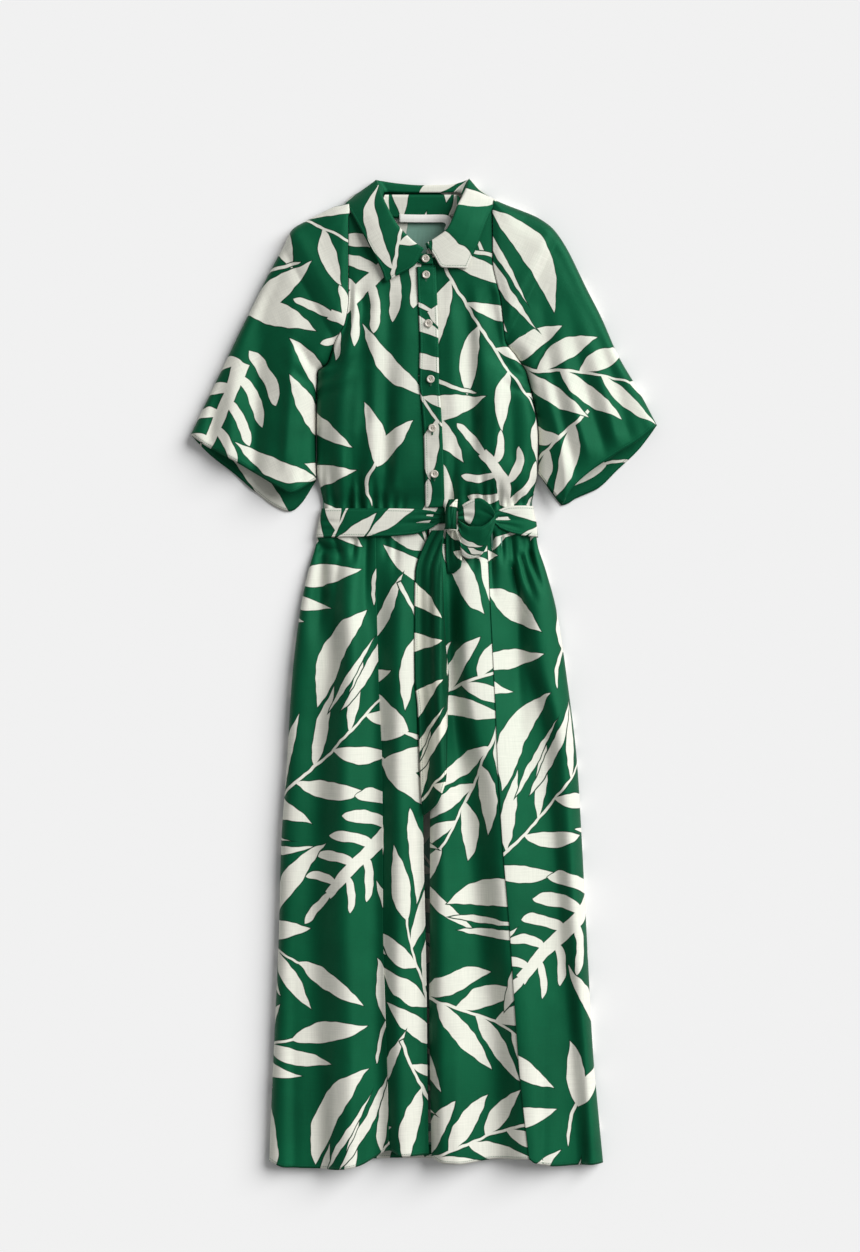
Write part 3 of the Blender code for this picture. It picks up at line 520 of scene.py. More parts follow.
def folds(x, y, rows):
    """Depth of a set of folds: each starts deep at x0, y0 and runs out wider and shallower at x1, y1."""
    total = np.zeros(np.broadcast(x, y).shape)
    for x0, y0, x1, y1, bow, left, right, depth in rows:
        run = np.array([x1 - x0, y1 - y0])
        length = np.hypot(*run)
        along = ((x - x0) * run[0] + (y - y0) * run[1]) / length**2
        inside = np.clip(along, 0, 1)
        off = ((x - x0) * run[1] - (y - y0) * run[0]) / length
        off = off - bow * 4 * inside * (1 - inside)
        wide = np.where(off < 0, left, right) * (FOLD_WIDTH[0] + FOLD_WIDTH[1] * inside)
        strong = risen(along, FOLD_STARTS) * (1 - risen(along, FOLD_FADES))
        total += depth * strong * np.exp(-np.abs(off / wide) ** FOLD_POWER)
    return total * FOLD_DEPTH


# Folds: x0 y0 x1 y1, bow, width to the left and right of its line, depth. The gathers start at the belt.
BODICE_FOLDS = [
    (-139, 16, -142, 135, 2, 5, 6, 2.6),
    (-123.4, 16, -128, 112, -2, 5, 8, 3.2),
    (-104.4, 16, -103, 128, 2, 4.5, 7, 4.6),
    (-96, 16, -97, 60, 1, 3, 4, -1.6),
    (-88, 16, -92, 92, -1, 4, 5, 4.2),
    (-80, 16, -82, 58, 0, 3, 4, -1.5),
    (-71, 16, -74, 76, 1, 3.5, 4.5, 3.6),
    (-58.4, 16, -59, 66, 0, 3.5, 4, 3.4),
    (-46, 16, -44, 50, 1, 3, 4, 2.4),
    (-34, 16, -31, 42, 0, 3, 3.5, 1.8),
    (29, 24, 34, 138, 2, 5, 9, 3.6),
    (52, 24, 50, 62, -1, 3.5, 4, 2.4),
    (64, 24, 61, 52, 0, 3, 4, 2.2),
    (73.5, 24, 69, 84, 1, 4, 4.5, 4),
    (84, 22, 80, 72, 0, 3.5, 4.5, 3.6),
    (94.5, 22, 91, 66, 1, 3.5, 4, 3.2),
    (104, 22, 103, 46, 0, 3, 3.5, 2),
    (114, 24, 112, 60, -1, 3.5, 4, 3),
    (124, 24, 124, 44, 0, 3, 4, 2),
    (134, 24, 136, 128, 2, 6, 7, 3),
    (-57, 60, -57, 225, 3, 12, 10, 2),
    (-43, 50, -45, 240, 2, 9, 9, -1.6),
    (-96, 120, -92, 330, 4, 10, 12, -1.8),
    (-80, 140, -76, 300, -3, 12, 10, 1.8),
    (62, 110, 58, 300, -4, 13, 10, 2.2),
    (88, 100, 92, 260, 3, 9, 11, -1.7),
    (112, 90, 100, 250, 4, 9, 12, 1.8),
    (-142, 188, -72, 236, 5, 8, 10, 2.4),
    (-140, 170, -86, 196, 4, 6, 8, 1.7),
    (134, 186, 72, 240, -5, 8, 10, 2.4),
    (132, 170, 84, 200, -4, 6, 8, 1.6),
    (-92, 300, -58, 268, 3, 7, 9, 1.5),
    (84, 300, 50, 262, -3, 7, 9, 1.5),
]
SKIRT_FOLDS = [
    (-146, -22, -112, -38, 3, 4, 5, 3.4),
    (-141, -34, -104, -40, -3, 3, 4, 2.6),
    (-122, -20, -108, -58, 1, 3.5, 4, 2.8),
    (-96, -18, -98, -60, 1, 4, 5, 2.8),
    (-80, -18, -82, -172, 2, 7, 9, 3),
    (-55, -16, -54, -60, 0, 4, 5, 2),
    (-42, -14, -42, -90, 1, 5, 5, 2.2),
    (-139, -44, -150, -176, -3, 8, 11, 4.4),
    (-118, -60, -122, -260, 4, 12, 10, 2.2),
    (62, -30, 60, -74, 0, 4, 5, 2.4),
    (84, -20, 88, -116, 2, 5, 7, 4),
    (97, -18, 99, -60, 0, 4, 4, 2.2),
    (110, -18, 113, -130, -2, 6, 8, 3.2),
    (124, -18, 127, -64, 0, 4, 4, 2.4),
    (133, -20, 139, -92, 1, 4, 6, 3.4),
    (124, -46, 147, -112, 2, 3, 4, 5),
    (136, -40, 153, -92, 2, 2.6, 3.4, 4.2),
    (112, -60, 132, -130, 2, 3.2, 4.5, 3),
    (120, -120, 128, -330, 4, 10, 13, 2.4),
    (-176, -880, -170, -420, -4, 9, 10, 1.8),
    (-128, -880, -130, -600, 4, 9, 9, -1.2),
    (-88, -880, -86, -560, -3, 8, 8, 1.2),
    (40, -880, 44, -560, -3, 9, 9, -1.3),
    (150, -880, 146, -520, 3, 9, 10, 1.6),
    (206, -880, 198, -560, 0, 8, 9, 1.6),
]
SLEEVE_RIGHT_FOLDS = [
    (-229, 74, -204, 392, -4, 15, 18, 4.4),
    (-186, 96, -176, 372, 3, 12, 13, -2.8),
    (-261, 96, -236, 330, -4, 12, 12, -2.4),
    (-286, 112, -258, 290, -3, 8, 10, 2.6),
    (-164, 66, -152, 252, 5, 8, 11, 3),
    (-150, 196, -196, 262, 5, 7, 9, 2.6),
    (-150, 176, -206, 214, 4, 6, 8, 1.8),
]
SLEEVE_LEFT_FOLDS = [
    (188, 92, 144, 360, -8, 12, 12, 3.2),
    (228, 112, 176, 340, -6, 13, 12, 2.6),
    (262, 126, 202, 292, 5, 11, 10, 1.8),
    (160, 66, 146, 252, -5, 9, 7, 3.2),
    (206, 104, 160, 306, -4, 10, 10, -1.9),
    (244, 118, 194, 286, 3, 10, 10, -1.6),
    (136, 196, 184, 268, -5, 8, 7, 2.6),
    (134, 176, 190, 220, -4, 7, 6, 1.8),
]
BACK_FOLDS = [
    (-104, 16, -102, 96, 2, 4, 6, 2.2),
    (-86, 16, -88, 66, 0, 3, 5, 2),
    (-66, 16, -66, 84, 1, 4, 4, 2.4),
    (-42, 16, -45, 58, 0, 3, 4, 1.8),
    (-18, 16, -17, 74, 1, 4, 5, 2.2),
    (8, 16, 9, 60, 0, 3, 4, 1.8),
    (34, 16, 32, 82, -1, 4, 4, 2.3),
    (60, 16, 62, 62, 0, 3, 4, 1.9),
    (82, 16, 80, 90, 1, 4, 5, 2.3),
    (108, 16, 108, 66, 0, 4, 4, 1.9),
    (-60, 110, -48, 300, 6, 14, 18, 1.8),
    (52, 100, 44, 320, -6, 16, 14, 1.8),
    (-110, 176, -40, 262, 6, 8, 12, 1.8),
    (104, 172, 36, 268, -6, 12, 8, 1.8),
    (-112, -16, -116, -110, 2, 5, 7, 2.2),
    (-84, -16, -84, -70, 0, 4, 5, 1.8),
    (-52, -16, -54, -130, 2, 5, 6, 2.4),
    (-20, -16, -20, -84, 0, 4, 5, 1.8),
    (16, -16, 18, -120, -2, 5, 6, 2.3),
    (50, -16, 50, -76, 0, 4, 5, 1.9),
    (82, -16, 86, -140, 2, 6, 6, 2.4),
    (114, -16, 117, -84, 0, 4, 6, 1.9),
    (-150, -900, -140, -380, 4, 16, 14, 3),
    (-70, -900, -66, -320, -4, 15, 18, 3.2),
    (14, -900, 10, -260, 5, 18, 15, 3.2),
    (92, -900, 86, -360, -4, 15, 17, 3),
    (168, -900, 156, -420, 4, 14, 14, 2.8),
]

# Long soft waves of the front: where each trough (t) and ridge (r) runs, and its height.
SKIRT_WAVES = table(
    "y t1 r1 t2 r2 t3 r3 t4 r4 t5 r5",
    (0, -126, -100, -68, -37, -8, 14, 27, 46, 100, 122),
    (-91, -140, -106, -68, -38, -8, 14, 28, 50, 112, 140),
    (-180, -134, -101, -68, -39, -8, 14, 29, 52, 124, 150),
    (-274, -144, -108, -67, -39, -8, 15, 37, 66, 150, 174),
    (-364, -147, -110, -67, -38, -8, 16, 52, 92, 158, 183),
    (-456, -152, -108, -67, -38, -8, 16, 60, 98, 167, 189),
    (-548, -154, -109, -66, -38, -7, 16, 68, 105, 172, 196),
    (-639, -153, -105, -65, -38, -5, 17, 79, 118, 183, 203),
    (-731, -147, -102, -63, -37, -3, 18, 87, 125, 189, 209),
    (-823, -144, -107, -62, -36, -2, 20, 90, 132, 195, 214),
)
SKIRT_WAVE_HEIGHTS = (-3.8, 3.0, -3.4, 2.2, -2.0, 2.8, -4.2, 3.2, -3.4, 1.4)
BODICE_WAVES = table(
    "y t1 r1 t2 r2 t3 r3 t4 r4 t5 r5 t6",
    (40, -131, -111, -90, -70, -52, -30, -6, 24, 54, 78, 108),
    (150, -134, -113, -92, -73, -53, -31, -6, 26, 56, 76, 106),
    (215, -122, -106, -90, -72, -52, -31, -6, 25, 55, 70, 97),
    (280, -103, -96, -86, -70, -51, -30, -6, 24, 50, 64, 86),
    (340, -100, -94, -84, -68, -50, -30, -6, 24, 46, 60, 78),
)
BODICE_WAVE_HEIGHTS = (-2.8, 2.6, -3.6, 2.8, -3.2, 2.2, -0.8, 2.6, -3.4, 2.4, -3.4)


def waves(x, y, lines, heights):
    """Smooth ridges and troughs along a table's lines, level again at the two edges of the body."""
    places = [read(lines, name, y) for name in lines if name != "y"]
    places = [read(BODY, "left", y), *places, read(BODY, "right", y)]
    heights = (0, *heights, 0)
    total = np.zeros(np.broadcast(x, y).shape)
    for start, end, low, high in zip(places, places[1:], heights, heights[1:]):
        between = low + (high - low) * ramp((x - start) / (end - start))
        total = np.where((x >= start) & (x < end), between, total)
    return total


def sag(x, y):
    """How far the front cloth lies off its plain form: waves, folds, and the cloth's own softness."""
    loose = soft(x, y, "front") * risen(np.abs(y), HELD_BY_BELT) * (1 - NECK_CALMER * risen(y, NECK_CALM))
    skirt = WAVE_DEPTH * waves(x, y, SKIRT_WAVES, SKIRT_WAVE_HEIGHTS) * risen(-y, SKIRT_WAVES_GROW)
    bodice = waves(x, y, BODICE_WAVES, BODICE_WAVE_HEIGHTS) * risen(y, BODICE_WAVES_GROW)
    loose = loose + skirt + bodice * (1 - risen(y, BODICE_WAVES_END))
    return loose - folds(x, y, BODICE_FOLDS) - folds(x, y, SKIRT_FOLDS)


def front(x, y):
    return height(x, y) + sag(x, y)


def back(x, y):
    """The back's outer face, with folds that rise off the surface it lies on."""
    left, right = read(BODY, "left", y), read(BODY, "right", y)
    inward = ramp(np.minimum(x - left, right - x) / BACK_EDGE) * risen(np.abs(y), BACK_HELD)
    loose = BACK_LOOSE * (0.5 + soft(x, y, "back"))
    return underside(x, y) + np.maximum(folds(x, y, BACK_FOLDS) + loose, 0) * inward


# ---------------- cloth

BOTH_SIDES = 900.0  # a piece turned in this far shows its printed side all over
# How each piece is cut from the printed cloth and made up: turned on it in degrees, moved across and
# along it, thickness, width of its stitched hem, and how far the printed side shows round its edge.
CUTS = {
    "back_bodice": (184, 310, 190, CLOTH, 0, 0),
    "back_skirt": (176, 90, 40, CLOTH, 16, 20),
    "front_bodice_right": (0, 0, 0, CLOTH, 0, 0),
    "front_bodice_left": (0, 20, 270, CLOTH, 0, 0),
    "placket": (0, 120, 334, CLOTH, 4, 0),
    "front_skirt_right": (0, 60, 130, CLOTH, 16, 20),
    "front_skirt_left": (0, 240, 240, CLOTH, 16, 20),
    "sleeve_right": (-24, 100, 60, CLOTH, 18, 46),
    "sleeve_left": (24, 225, 375, CLOTH, 18, 46),
    "collar_stand": (0, 210, 470, CLOTH, 3, BOTH_SIDES),
    "collar": (0, 60, 505, CLOTH, 5, BOTH_SIDES),
    "neck_label": (0, 0, 0, 0.5, 0, 0),
    "belt_band": (0, 500, 180, 1.2, 3, BOTH_SIDES),
    "belt_knot": (0, 300, 240, 1.1, 0, BOTH_SIDES),
    "belt_loop": (0, 200, 280, 1.1, 3, BOTH_SIDES),
    "belt_tail_long": (4, 460, 220, 1.1, 3, BOTH_SIDES),
    "belt_tail_short": (4, 80, 260, 1.1, 3, BOTH_SIDES),
}


def run_lengths(points, axis):
    """Running length over a grid of points, along its rows (axis 1) or columns (axis 0)."""
    length = np.cumsum(np.linalg.norm(np.diff(points, axis=axis), axis=-1), axis=axis)
    return np.concatenate([np.zeros_like(np.take(length, [0], axis)), length], axis)


def on_print(name, u, v):
    """Where a piece's flat points lie on the printed cloth."""
    turn, across, along = CUTS[name][:3]
    c, s = math.cos(math.radians(turn)), math.sin(math.radians(turn))
    return grid(u * c - v * s + across, u * s + v * c + along)


def unrolled(name, points, anchor):
    """Place of each point on the printed cloth. Each row is unrolled from its anchor column."""
    across = run_lengths(points[..., ::2], 1)
    start, here = points[:, anchor, 0][:, None], across[:, anchor][:, None]
    way = np.sign(points[:, -1, 0] - points[:, 0, 0])[:, None]
    return on_print(name, start + way * (across - here), points[..., 1])


def edges(points, *sides):
    """For each point: how far along the nearest stitched edge it is, and how far from it."""
    down, across = run_lengths(points, 0), run_lengths(points, 1)
    known = {
        "first": (across, down),
        "last": (across, down[-1:] - down),
        "left": (down, across),
        "right": (down, across[:, -1:] - across),
    }
    along, away = np.zeros(points.shape[:2]), np.full(points.shape[:2], FAR)
    for side in sides:
        far, near = known[side]
        closer = near < away
        along, away = np.where(closer, far, along), np.where(closer, near, away)
    return grid(along, away)


def cloth(name, points, printed, stitched, flip=False, finishes=None):
    """A piece of cloth from a grid of points on its outer face, a layer thick, thicker at its hems."""
    wall, hem, turned = CUTS[name][3:]
    rows, columns = points.shape[:2]
    index = np.arange(rows * columns).reshape(rows, columns)
    a, b, c, d = index[:-1, :-1], index[1:, :-1], index[1:, 1:], index[:-1, 1:]
    faces = np.stack([a, d, c, b] if flip else [a, b, c, d], axis=-1).reshape(-1, 4)
    mesh = bpy.data.meshes.new(name)
    mesh.from_pydata((points.reshape(-1, 3) * MM).tolist(), [], faces.tolist())
    for label, places in (("print", printed), ("edge", stitched)):
        layer = mesh.uv_layers.new(name=label)
        layer.data.foreach_set("uv", (places.reshape(-1, 2)[faces.ravel()] * MM).ravel())
    for made in finishes or (LEAF_PRINT, LEAF_PRINT_INSIDE):
        mesh.materials.append(made)
    mesh.shade_smooth()
    piece = bpy.data.objects.new(name, mesh)
    bpy.context.scene.collection.objects.link(piece)
    thickness = piece.vertex_groups.new(name="thickness")
    near_hem = stitched[..., 1].ravel() < hem
    thickness.add(np.flatnonzero(near_hem).tolist(), 1.0, "REPLACE")
    thickness.add(np.flatnonzero(~near_hem).tolist(), wall / HEM, "REPLACE")
    thicken = piece.modifiers.new("layer", "SOLIDIFY")
    thicken.thickness, thicken.offset = HEM * MM, -1
    thicken.vertex_group = thickness.name
    thicken.material_offset = 1
    apply_modifiers(piece)
    turn_under(piece.data, turned)
    return belong(piece, name)


def turn_under(mesh, turned):
    """Shows the printed side where the cloth is turned to the inside along a hem."""
    count = len(mesh.polygons)
    corners, sides = np.empty(len(mesh.loops) * 2), np.empty(count, dtype=np.int32)
    first = np.empty(count, dtype=np.int32)
    mesh.uv_layers["edge"].data.foreach_get("uv", corners)
    mesh.polygons.foreach_get("material_index", sides)
    mesh.polygons.foreach_get("loop_start", first)
    sides[corners.reshape(-1, 2)[first, 1] / MM < turned] = 0
    mesh.polygons.foreach_set("material_index", sides)


def apply_modifiers(piece):
    graph = bpy.context.evaluated_depsgraph_get()
    made = bpy.data.meshes.new_from_object(piece.evaluated_get(graph))
    piece.modifiers.clear()
    piece.data = made


def belong(piece, node=None):
    """Attaches a piece to the root body, and hides the CAD part of the same node."""
    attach(piece, "root")
    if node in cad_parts:
        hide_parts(node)
    return piece


# ---------------- finishes


class Nodes:
    """Adds nodes to a tree. Inputs are given in order, as values or as outputs of other nodes."""

    def __init__(self, tree):
        self.tree = tree

    def add(self, kind, *inputs, **settings):
        node = self.tree.nodes.new("ShaderNode" + kind)
        for name, value in settings.items():
            setattr(node, name, value)
        for place, value in zip(node.inputs, inputs):
            self.put(place, value)
        return node

    def put(self, place, value):
        if isinstance(value, bpy.types.NodeSocket):
            self.tree.links.new(value, place)
        elif value is not None:
            place.default_value = value

    def math(self, operation, *inputs, limit=False):
        return self.add("Math", *inputs, operation=operation, use_clamp=limit).outputs[0]

    def vector(self, operation, *inputs):
        made = self.add("VectorMath", *inputs, operation=operation)
        return made.outputs["Value" if operation in ("DOT_PRODUCT", "LENGTH") else "Vector"]

    def place(self, group, **inputs):
        made = self.add("Group", node_tree=group)
        for name, value in inputs.items():
            self.put(made.inputs[name.replace("_", " ")], value)
        return made


def group(name, inputs, outputs, build):
    """A shared node group. inputs and outputs are (name, kind) pairs; build(nodes, inputs) gives outputs."""
    tree = bpy.data.node_groups.new(name, "ShaderNodeTree")
    for label, kind in inputs:
        tree.interface.new_socket(label, in_out="INPUT", socket_type="NodeSocket" + kind)
    for label, kind in outputs:
        tree.interface.new_socket(label, in_out="OUTPUT", socket_type="NodeSocket" + kind)
    nodes = Nodes(tree)
    given = tree.nodes.new("NodeGroupInput").outputs
    results = build(nodes, {label: given[label] for label, _ in inputs})
    last = tree.nodes.new("NodeGroupOutput")
    for (label, _), value in zip(outputs, results):
        tree.links.new(value, last.inputs[label])
    return tree


def floats(*names):
    return [(name, "Float") for name in names]


def blade_shape(n, g):
    """How deep inside a leaf a point is, from its place along the leaf and across it."""
    from_middle = n.math("MULTIPLY_ADD", n.math("DIVIDE", g["Along"], g["Length"]), 2.0, -1.0)
    from_middle = n.math("MAXIMUM", n.math("MINIMUM", from_middle, BLADE_END), -BLADE_END)
    full = n.math("MULTIPLY_ADD", n.math("MULTIPLY", from_middle, from_middle), -1.0, 1.0)
    bowed = n.math("SUBTRACT", g["Across"], n.math("MULTIPLY", full, g["Bow"]))
    bellied = n.math("MULTIPLY_ADD", full, g["Belly"], from_middle)
    taper = n.math("POWER", n.math("ABSOLUTE", bellied), g["Bluntness"])
    half = n.math("MULTIPLY", g["Width"], n.math("SUBTRACT", 1.0, taper))
    return [n.math("SUBTRACT", half, n.math("ABSOLUTE", bowed))]


REPEAT = 0.60  # of the print, both ways, in metres
BLADE_END = 1.6  # in half lengths from its middle: as far as a blade's form is worked out
LEAF_STEP = 0.01  # metres by which a leaf's rank on its stem counts, to cut off those past the last
STEM_TAPER = (1.3, -0.5)  # thickness of a stem at its foot, and how it changes to its tip
TIP_START = 0.97  # of the stem, where its last leaf begins
BLADE = group(
    "leaf blade",
    floats("Along", "Across", "Length", "Width", "Bluntness", "Belly", "Bow"),
    floats("Depth"),
    blade_shape,
)


def own_axes(n, g):
    """Place along and across a motif, from the nearest repeat of its middle."""
    off = n.vector("SUBTRACT", g["Place"], g["Middle"])
    off = n.vector("WRAP", off, (REPEAT / 2,) * 3, (-REPEAT / 2,) * 3)
    return n.vector("DOT_PRODUCT", off, g["Direction"]), n.vector("DOT_PRODUCT", off, g["Sideways"])


def leaf_shape(n, g):
    along, across = own_axes(n, g)
    along = n.math("MULTIPLY_ADD", g["Length"], 0.5, along)
    made = n.place(BLADE, Along=along, Across=across, Length=g["Length"], Width=g["Width"],
                   Bluntness=g["Bluntness"], Belly=g["Belly"], Bow=g["Bow"])
    return [made.outputs[0]]


def sprig_shape(n, g):
    """A bent stem with leaves on both sides in turn, shorter towards its tip, and one at the tip."""
    sine, cosine, pitch = g["Leaf sine"], g["Leaf cosine"], g["Pitch"]
    blade = {name: g[name] for name in ("Bluntness", "Belly")}
    along, across = own_axes(n, g)
    along = n.math("MULTIPLY_ADD", g["Stem length"], 0.5, along)
    bent = n.math("MULTIPLY", n.math("MULTIPLY", along, along), g["Bend"])
    off = n.math("MULTIPLY_ADD", bent, -0.5, across)
    away = n.math("ABSOLUTE", off)
    half_step = n.math("MULTIPLY", n.math("GREATER_THAN", off, 0.0), 0.5)
    foot = n.math("SUBTRACT", along, n.math("MULTIPLY", away, n.math("DIVIDE", cosine, sine)))
    place = n.math("ADD", n.math("DIVIDE", foot, pitch), half_step)
    leaf = n.math("ROUND", place)
    beside = n.math("MULTIPLY", n.math("SUBTRACT", place, leaf), pitch)
    out = n.math("MULTIPLY_ADD", beside, cosine, n.math("DIVIDE", away, sine))
    aside = n.math("MULTIPLY", n.math("MULTIPLY", beside, -1.0), sine)
    rank = n.math("SUBTRACT", leaf, g["First leaf"])
    span = n.math("MAXIMUM", n.math("SUBTRACT", g["Last leaf"], g["First leaf"]), 1.0)
    less = n.math("MULTIPLY", n.math("DIVIDE", g["Taper"], span), -1.0)
    grown = n.math("MULTIPLY_ADD", rank, less, 1.0)
    leaves = n.place(
        BLADE, Along=out, Across=aside, Length=n.math("MULTIPLY", g["Leaf length"], grown),
        Width=n.math("MULTIPLY", g["Leaf width"], grown), Bow=n.math("MULTIPLY", g["Bow"], grown), **blade,
    ).outputs[0]
    after_first = n.math("MULTIPLY_ADD", rank, LEAF_STEP, LEAF_STEP / 2)
    last = n.math("MULTIPLY_ADD", g["Last leaf"], LEAF_STEP, LEAF_STEP / 2)
    before_last = n.math("SUBTRACT", last, n.math("MULTIPLY", leaf, LEAF_STEP))
    depth = n.math("MINIMUM", leaves, n.math("MINIMUM", after_first, before_last))
    thin = n.math("MULTIPLY_ADD", n.math("DIVIDE", along, g["Stem length"]), STEM_TAPER[1], STEM_TAPER[0])
    stem = n.math("SUBTRACT", n.math("MULTIPLY", thin, g["Stem width"]), away)
    ends = n.math("MINIMUM", along, n.math("SUBTRACT", g["Stem length"], along))
    depth = n.math("MAXIMUM", depth, n.math("MINIMUM", stem, ends))
    tip = n.place(
        BLADE, Along=n.math("MULTIPLY_ADD", g["Stem length"], -TIP_START, along), Across=off,
        Length=n.math("MULTIPLY", g["Leaf length"], g["Tip"]),
        Width=n.math("MULTIPLY", g["Leaf width"], g["Tip"]), Bow=0.0, **blade,
    ).outputs[0]
    return [n.math("MAXIMUM", depth, tip)]


PLACED = [("Place", "Vector"), ("Middle", "Vector"), ("Direction", "Vector"), ("Sideways", "Vector")]
LEAF = group(
    "leaf", PLACED + floats("Length", "Width", "Bluntness", "Belly", "Bow"), floats("Depth"), leaf_shape
)
SPRIG_VALUES = floats(
    "Stem length", "Leaf length", "Leaf width", "Pitch", "Leaf sine", "Leaf cosine", "First leaf",
    "Last leaf", "Bend", "Taper", "Bluntness", "Stem width", "Bow", "Belly", "Tip",
)
SPRIG = group("leaf sprig", PLACED + SPRIG_VALUES, floats("Depth"), sprig_shape)

# The motifs. A leaf is (x, y, angle, length, width, bluntness, belly, bow) and a sprig is (start, length,
# leaf length, leaf width, pitch, leaf angle, first, last, bend, taper, bluntness, stem, bow, belly, tip).
SPRIGS = {
    "willow": (-0.12, 0.18, 0.092, 0.0121, 0.047, 33, 1, 3, -1.5, 0.2, 2, 0.0013, 0.003, 0.12, 0.95),
    "olive": (-0.11, 0.17, 0.080, 0.0085, 0.036, 40, 1, 4, 2.0, 0.3, 2, 0.0013, 0, 0.12, 1),
    "branch": (-0.17, 0.29, 0.098, 0.0097, 0.060, 42, 1, 4, 1.6, 0.25, 2, 0.0013, 0.004, 0.1, 0.9),
    "frond": (-0.09, 0.155, 0.080, 0.0080, 0.034, 54, 0, 4, 0.8, 0.4, 5, 0.0075, 0.007, 0, 0.65),
}
LEAVES = {
    "moon": [
        (-0.07, 0.008, 0, 0.14, 0.0168, 2, 0.1, 0.018),
        (-0.065, -0.010, -2, 0.105, 0.0040, 2, 0.2, 0),
        (-0.055, -0.026, 2, 0.13, 0.0058, 2, 0.1, -0.004),
    ],
    "tulip": [
        (-0.03, 0, 24, 0.092, 0.0139, 2, 0.15, -0.006),
        (-0.03, 0, -26, 0.085, 0.0130, 2, 0.15, 0.006),
        (-0.085, 0.002, 0, 0.065, 0.0022, 6, 0, 0.004),
    ],
    "blade": [(-0.055, 0, 0, 0.11, 0.0106, 2, 0.1, 0.008)],
}
# Where they are in one repeat of the print: motif, x, y, angle, size.
PRINT = [
    ("willow", 0.308, 0.467, 249, 1.14),
    ("willow", 0.342, 0.196, 347, 1.19),
    ("willow", 0.033, 0.142, 117, 1.11),
    ("willow", 0.323, 0.048, 27, 1.16),
    ("tulip", 0.535, 0.10, 75, 0.95),
    ("branch", 0.501, 0.448, 31, 1.09),
    ("branch", 0.099, 0.469, 293, 1.17),
    ("frond", 0.489, 0.293, 219, 1.05),
    ("frond", 0.139, 0.312, 124, 1.02),
    ("moon", 0.193, 0.132, 326, 1.11),
    ("moon", 0.468, 0.548, 58, 1.06),
    ("moon", 0.345, 0.331, 357, 1.05),
    ("tulip", 0.004, 0.467, 164, 1.0),
    ("tulip", 0.151, 0.004, 348, 1.04),
    ("tulip", 0.024, 0.408, 346, 1.2),
    ("blade", 0.395, 0.255, 52, 1.27),
    ("blade", 0.038, 0.293, 274, 1.15),
    ("blade", 0.555, 0.212, 131, 1.17),
    ("blade", 0.16, 0.07, 337, 1.12),
]


def motif(n, place, kind, x, y, angle, size):
    """Depth inside one motif of the print, or the greatest depth over its leaves."""
    turn = math.radians(angle)
    c, s = math.cos(turn), math.sin(turn)

    def axes(px, py, extra, length):
        way = turn + math.radians(extra)
        base = (x + (px * c - py * s) * size, y + (px * s + py * c) * size)
        middle = (base[0] + math.cos(way) * length / 2, base[1] + math.sin(way) * length / 2, 0)
        return dict(Place=place, Middle=middle, Direction=(math.cos(way), math.sin(way), 0),
                    Sideways=(-math.sin(way), math.cos(way), 0))

    if kind in SPRIGS:
        start, stem, leaf, wide, pitch, slant, first, last, bend, taper, blunt, thick, bow, belly, tip = (
            SPRIGS[kind]
        )
        slant = math.radians(slant)
        return n.place(
            SPRIG, **axes(start, 0, 0, stem * size), Stem_length=stem * size, Leaf_length=leaf * size,
            Leaf_width=wide * size, Pitch=pitch * size, Leaf_sine=math.sin(slant),
            Leaf_cosine=math.cos(slant), First_leaf=first, Last_leaf=last, Bend=bend / size, Taper=taper,
            Bluntness=blunt, Stem_width=thick * size, Bow=bow * size, Belly=belly, Tip=tip,
        ).outputs[0]
    depth = None
    for px, py, extra, length, wide, blunt, belly, bow in LEAVES[kind]:
        made = n.place(
            LEAF, **axes(px, py, extra, length * size), Length=length * size, Width=wide * size,
            Bluntness=blunt, Belly=belly, Bow=bow * size,
        ).outputs[0]
        depth = made if depth is None else n.math("MAXIMUM", depth, made)
    return depth


# The print's edges wander by two noises: scale, detail, roughness, and how far they move it in metres.
WANDER = ((14.0, 1.0, 0.4, 0.011), (75.0, 0.0, 0.5, 0.0032))
GAP = 0.0022  # of ground left round a motif that lies over another
PALE_EDGE = (1600.0, 1.0)  # sharpness of a motif's edge, and of the darker line just outside it
LINE_EDGE = (1100.0, 1.9)


def leaf_print(n, g):
    """The print: pale cut-out leaves with a thin darker line round each. Later motifs lie on top."""
    place = g["Place"]
    noises = [n.add("TexNoise", g["Place"], None, *values).outputs["Color"] for *values, _ in WANDER]
    for noise, (*_, far) in zip(noises, WANDER):
        place = n.vector("MULTIPLY_ADD", n.vector("SUBTRACT", noise, (0.5,) * 3), (far, far, 0), place)
    total = None
    for placed in PRINT:
        depth = motif(n, place, *placed)
        if total is None:
            total = depth
        else:
            clear = n.math("MULTIPLY_ADD", depth, -1.0, -GAP)
            total = n.math("MAXIMUM", depth, n.math("MINIMUM", total, clear))
    pale = n.math("MULTIPLY_ADD", total, *PALE_EDGE, limit=True)
    line = n.math("MULTIPLY_ADD", total, *LINE_EDGE, limit=True)
    return [pale, n.math("MULTIPLY", line, n.math("SUBTRACT", 1.0, pale))]


PRINT_GROUP = group("leaf print", [("Place", "Vector")], floats("Pale", "Outline"), leaf_print)

THREAD_REPEAT, THREAD_HEIGHT = 0.00052, 0.000022  # of the weave, in metres
SLUB_LONG, SLUB_SHORT = 30.0, 1000.0  # scale of the noise along a thread and across it
CREPE_SCALE, CREPE_HEIGHT = 260.0, 0.00012


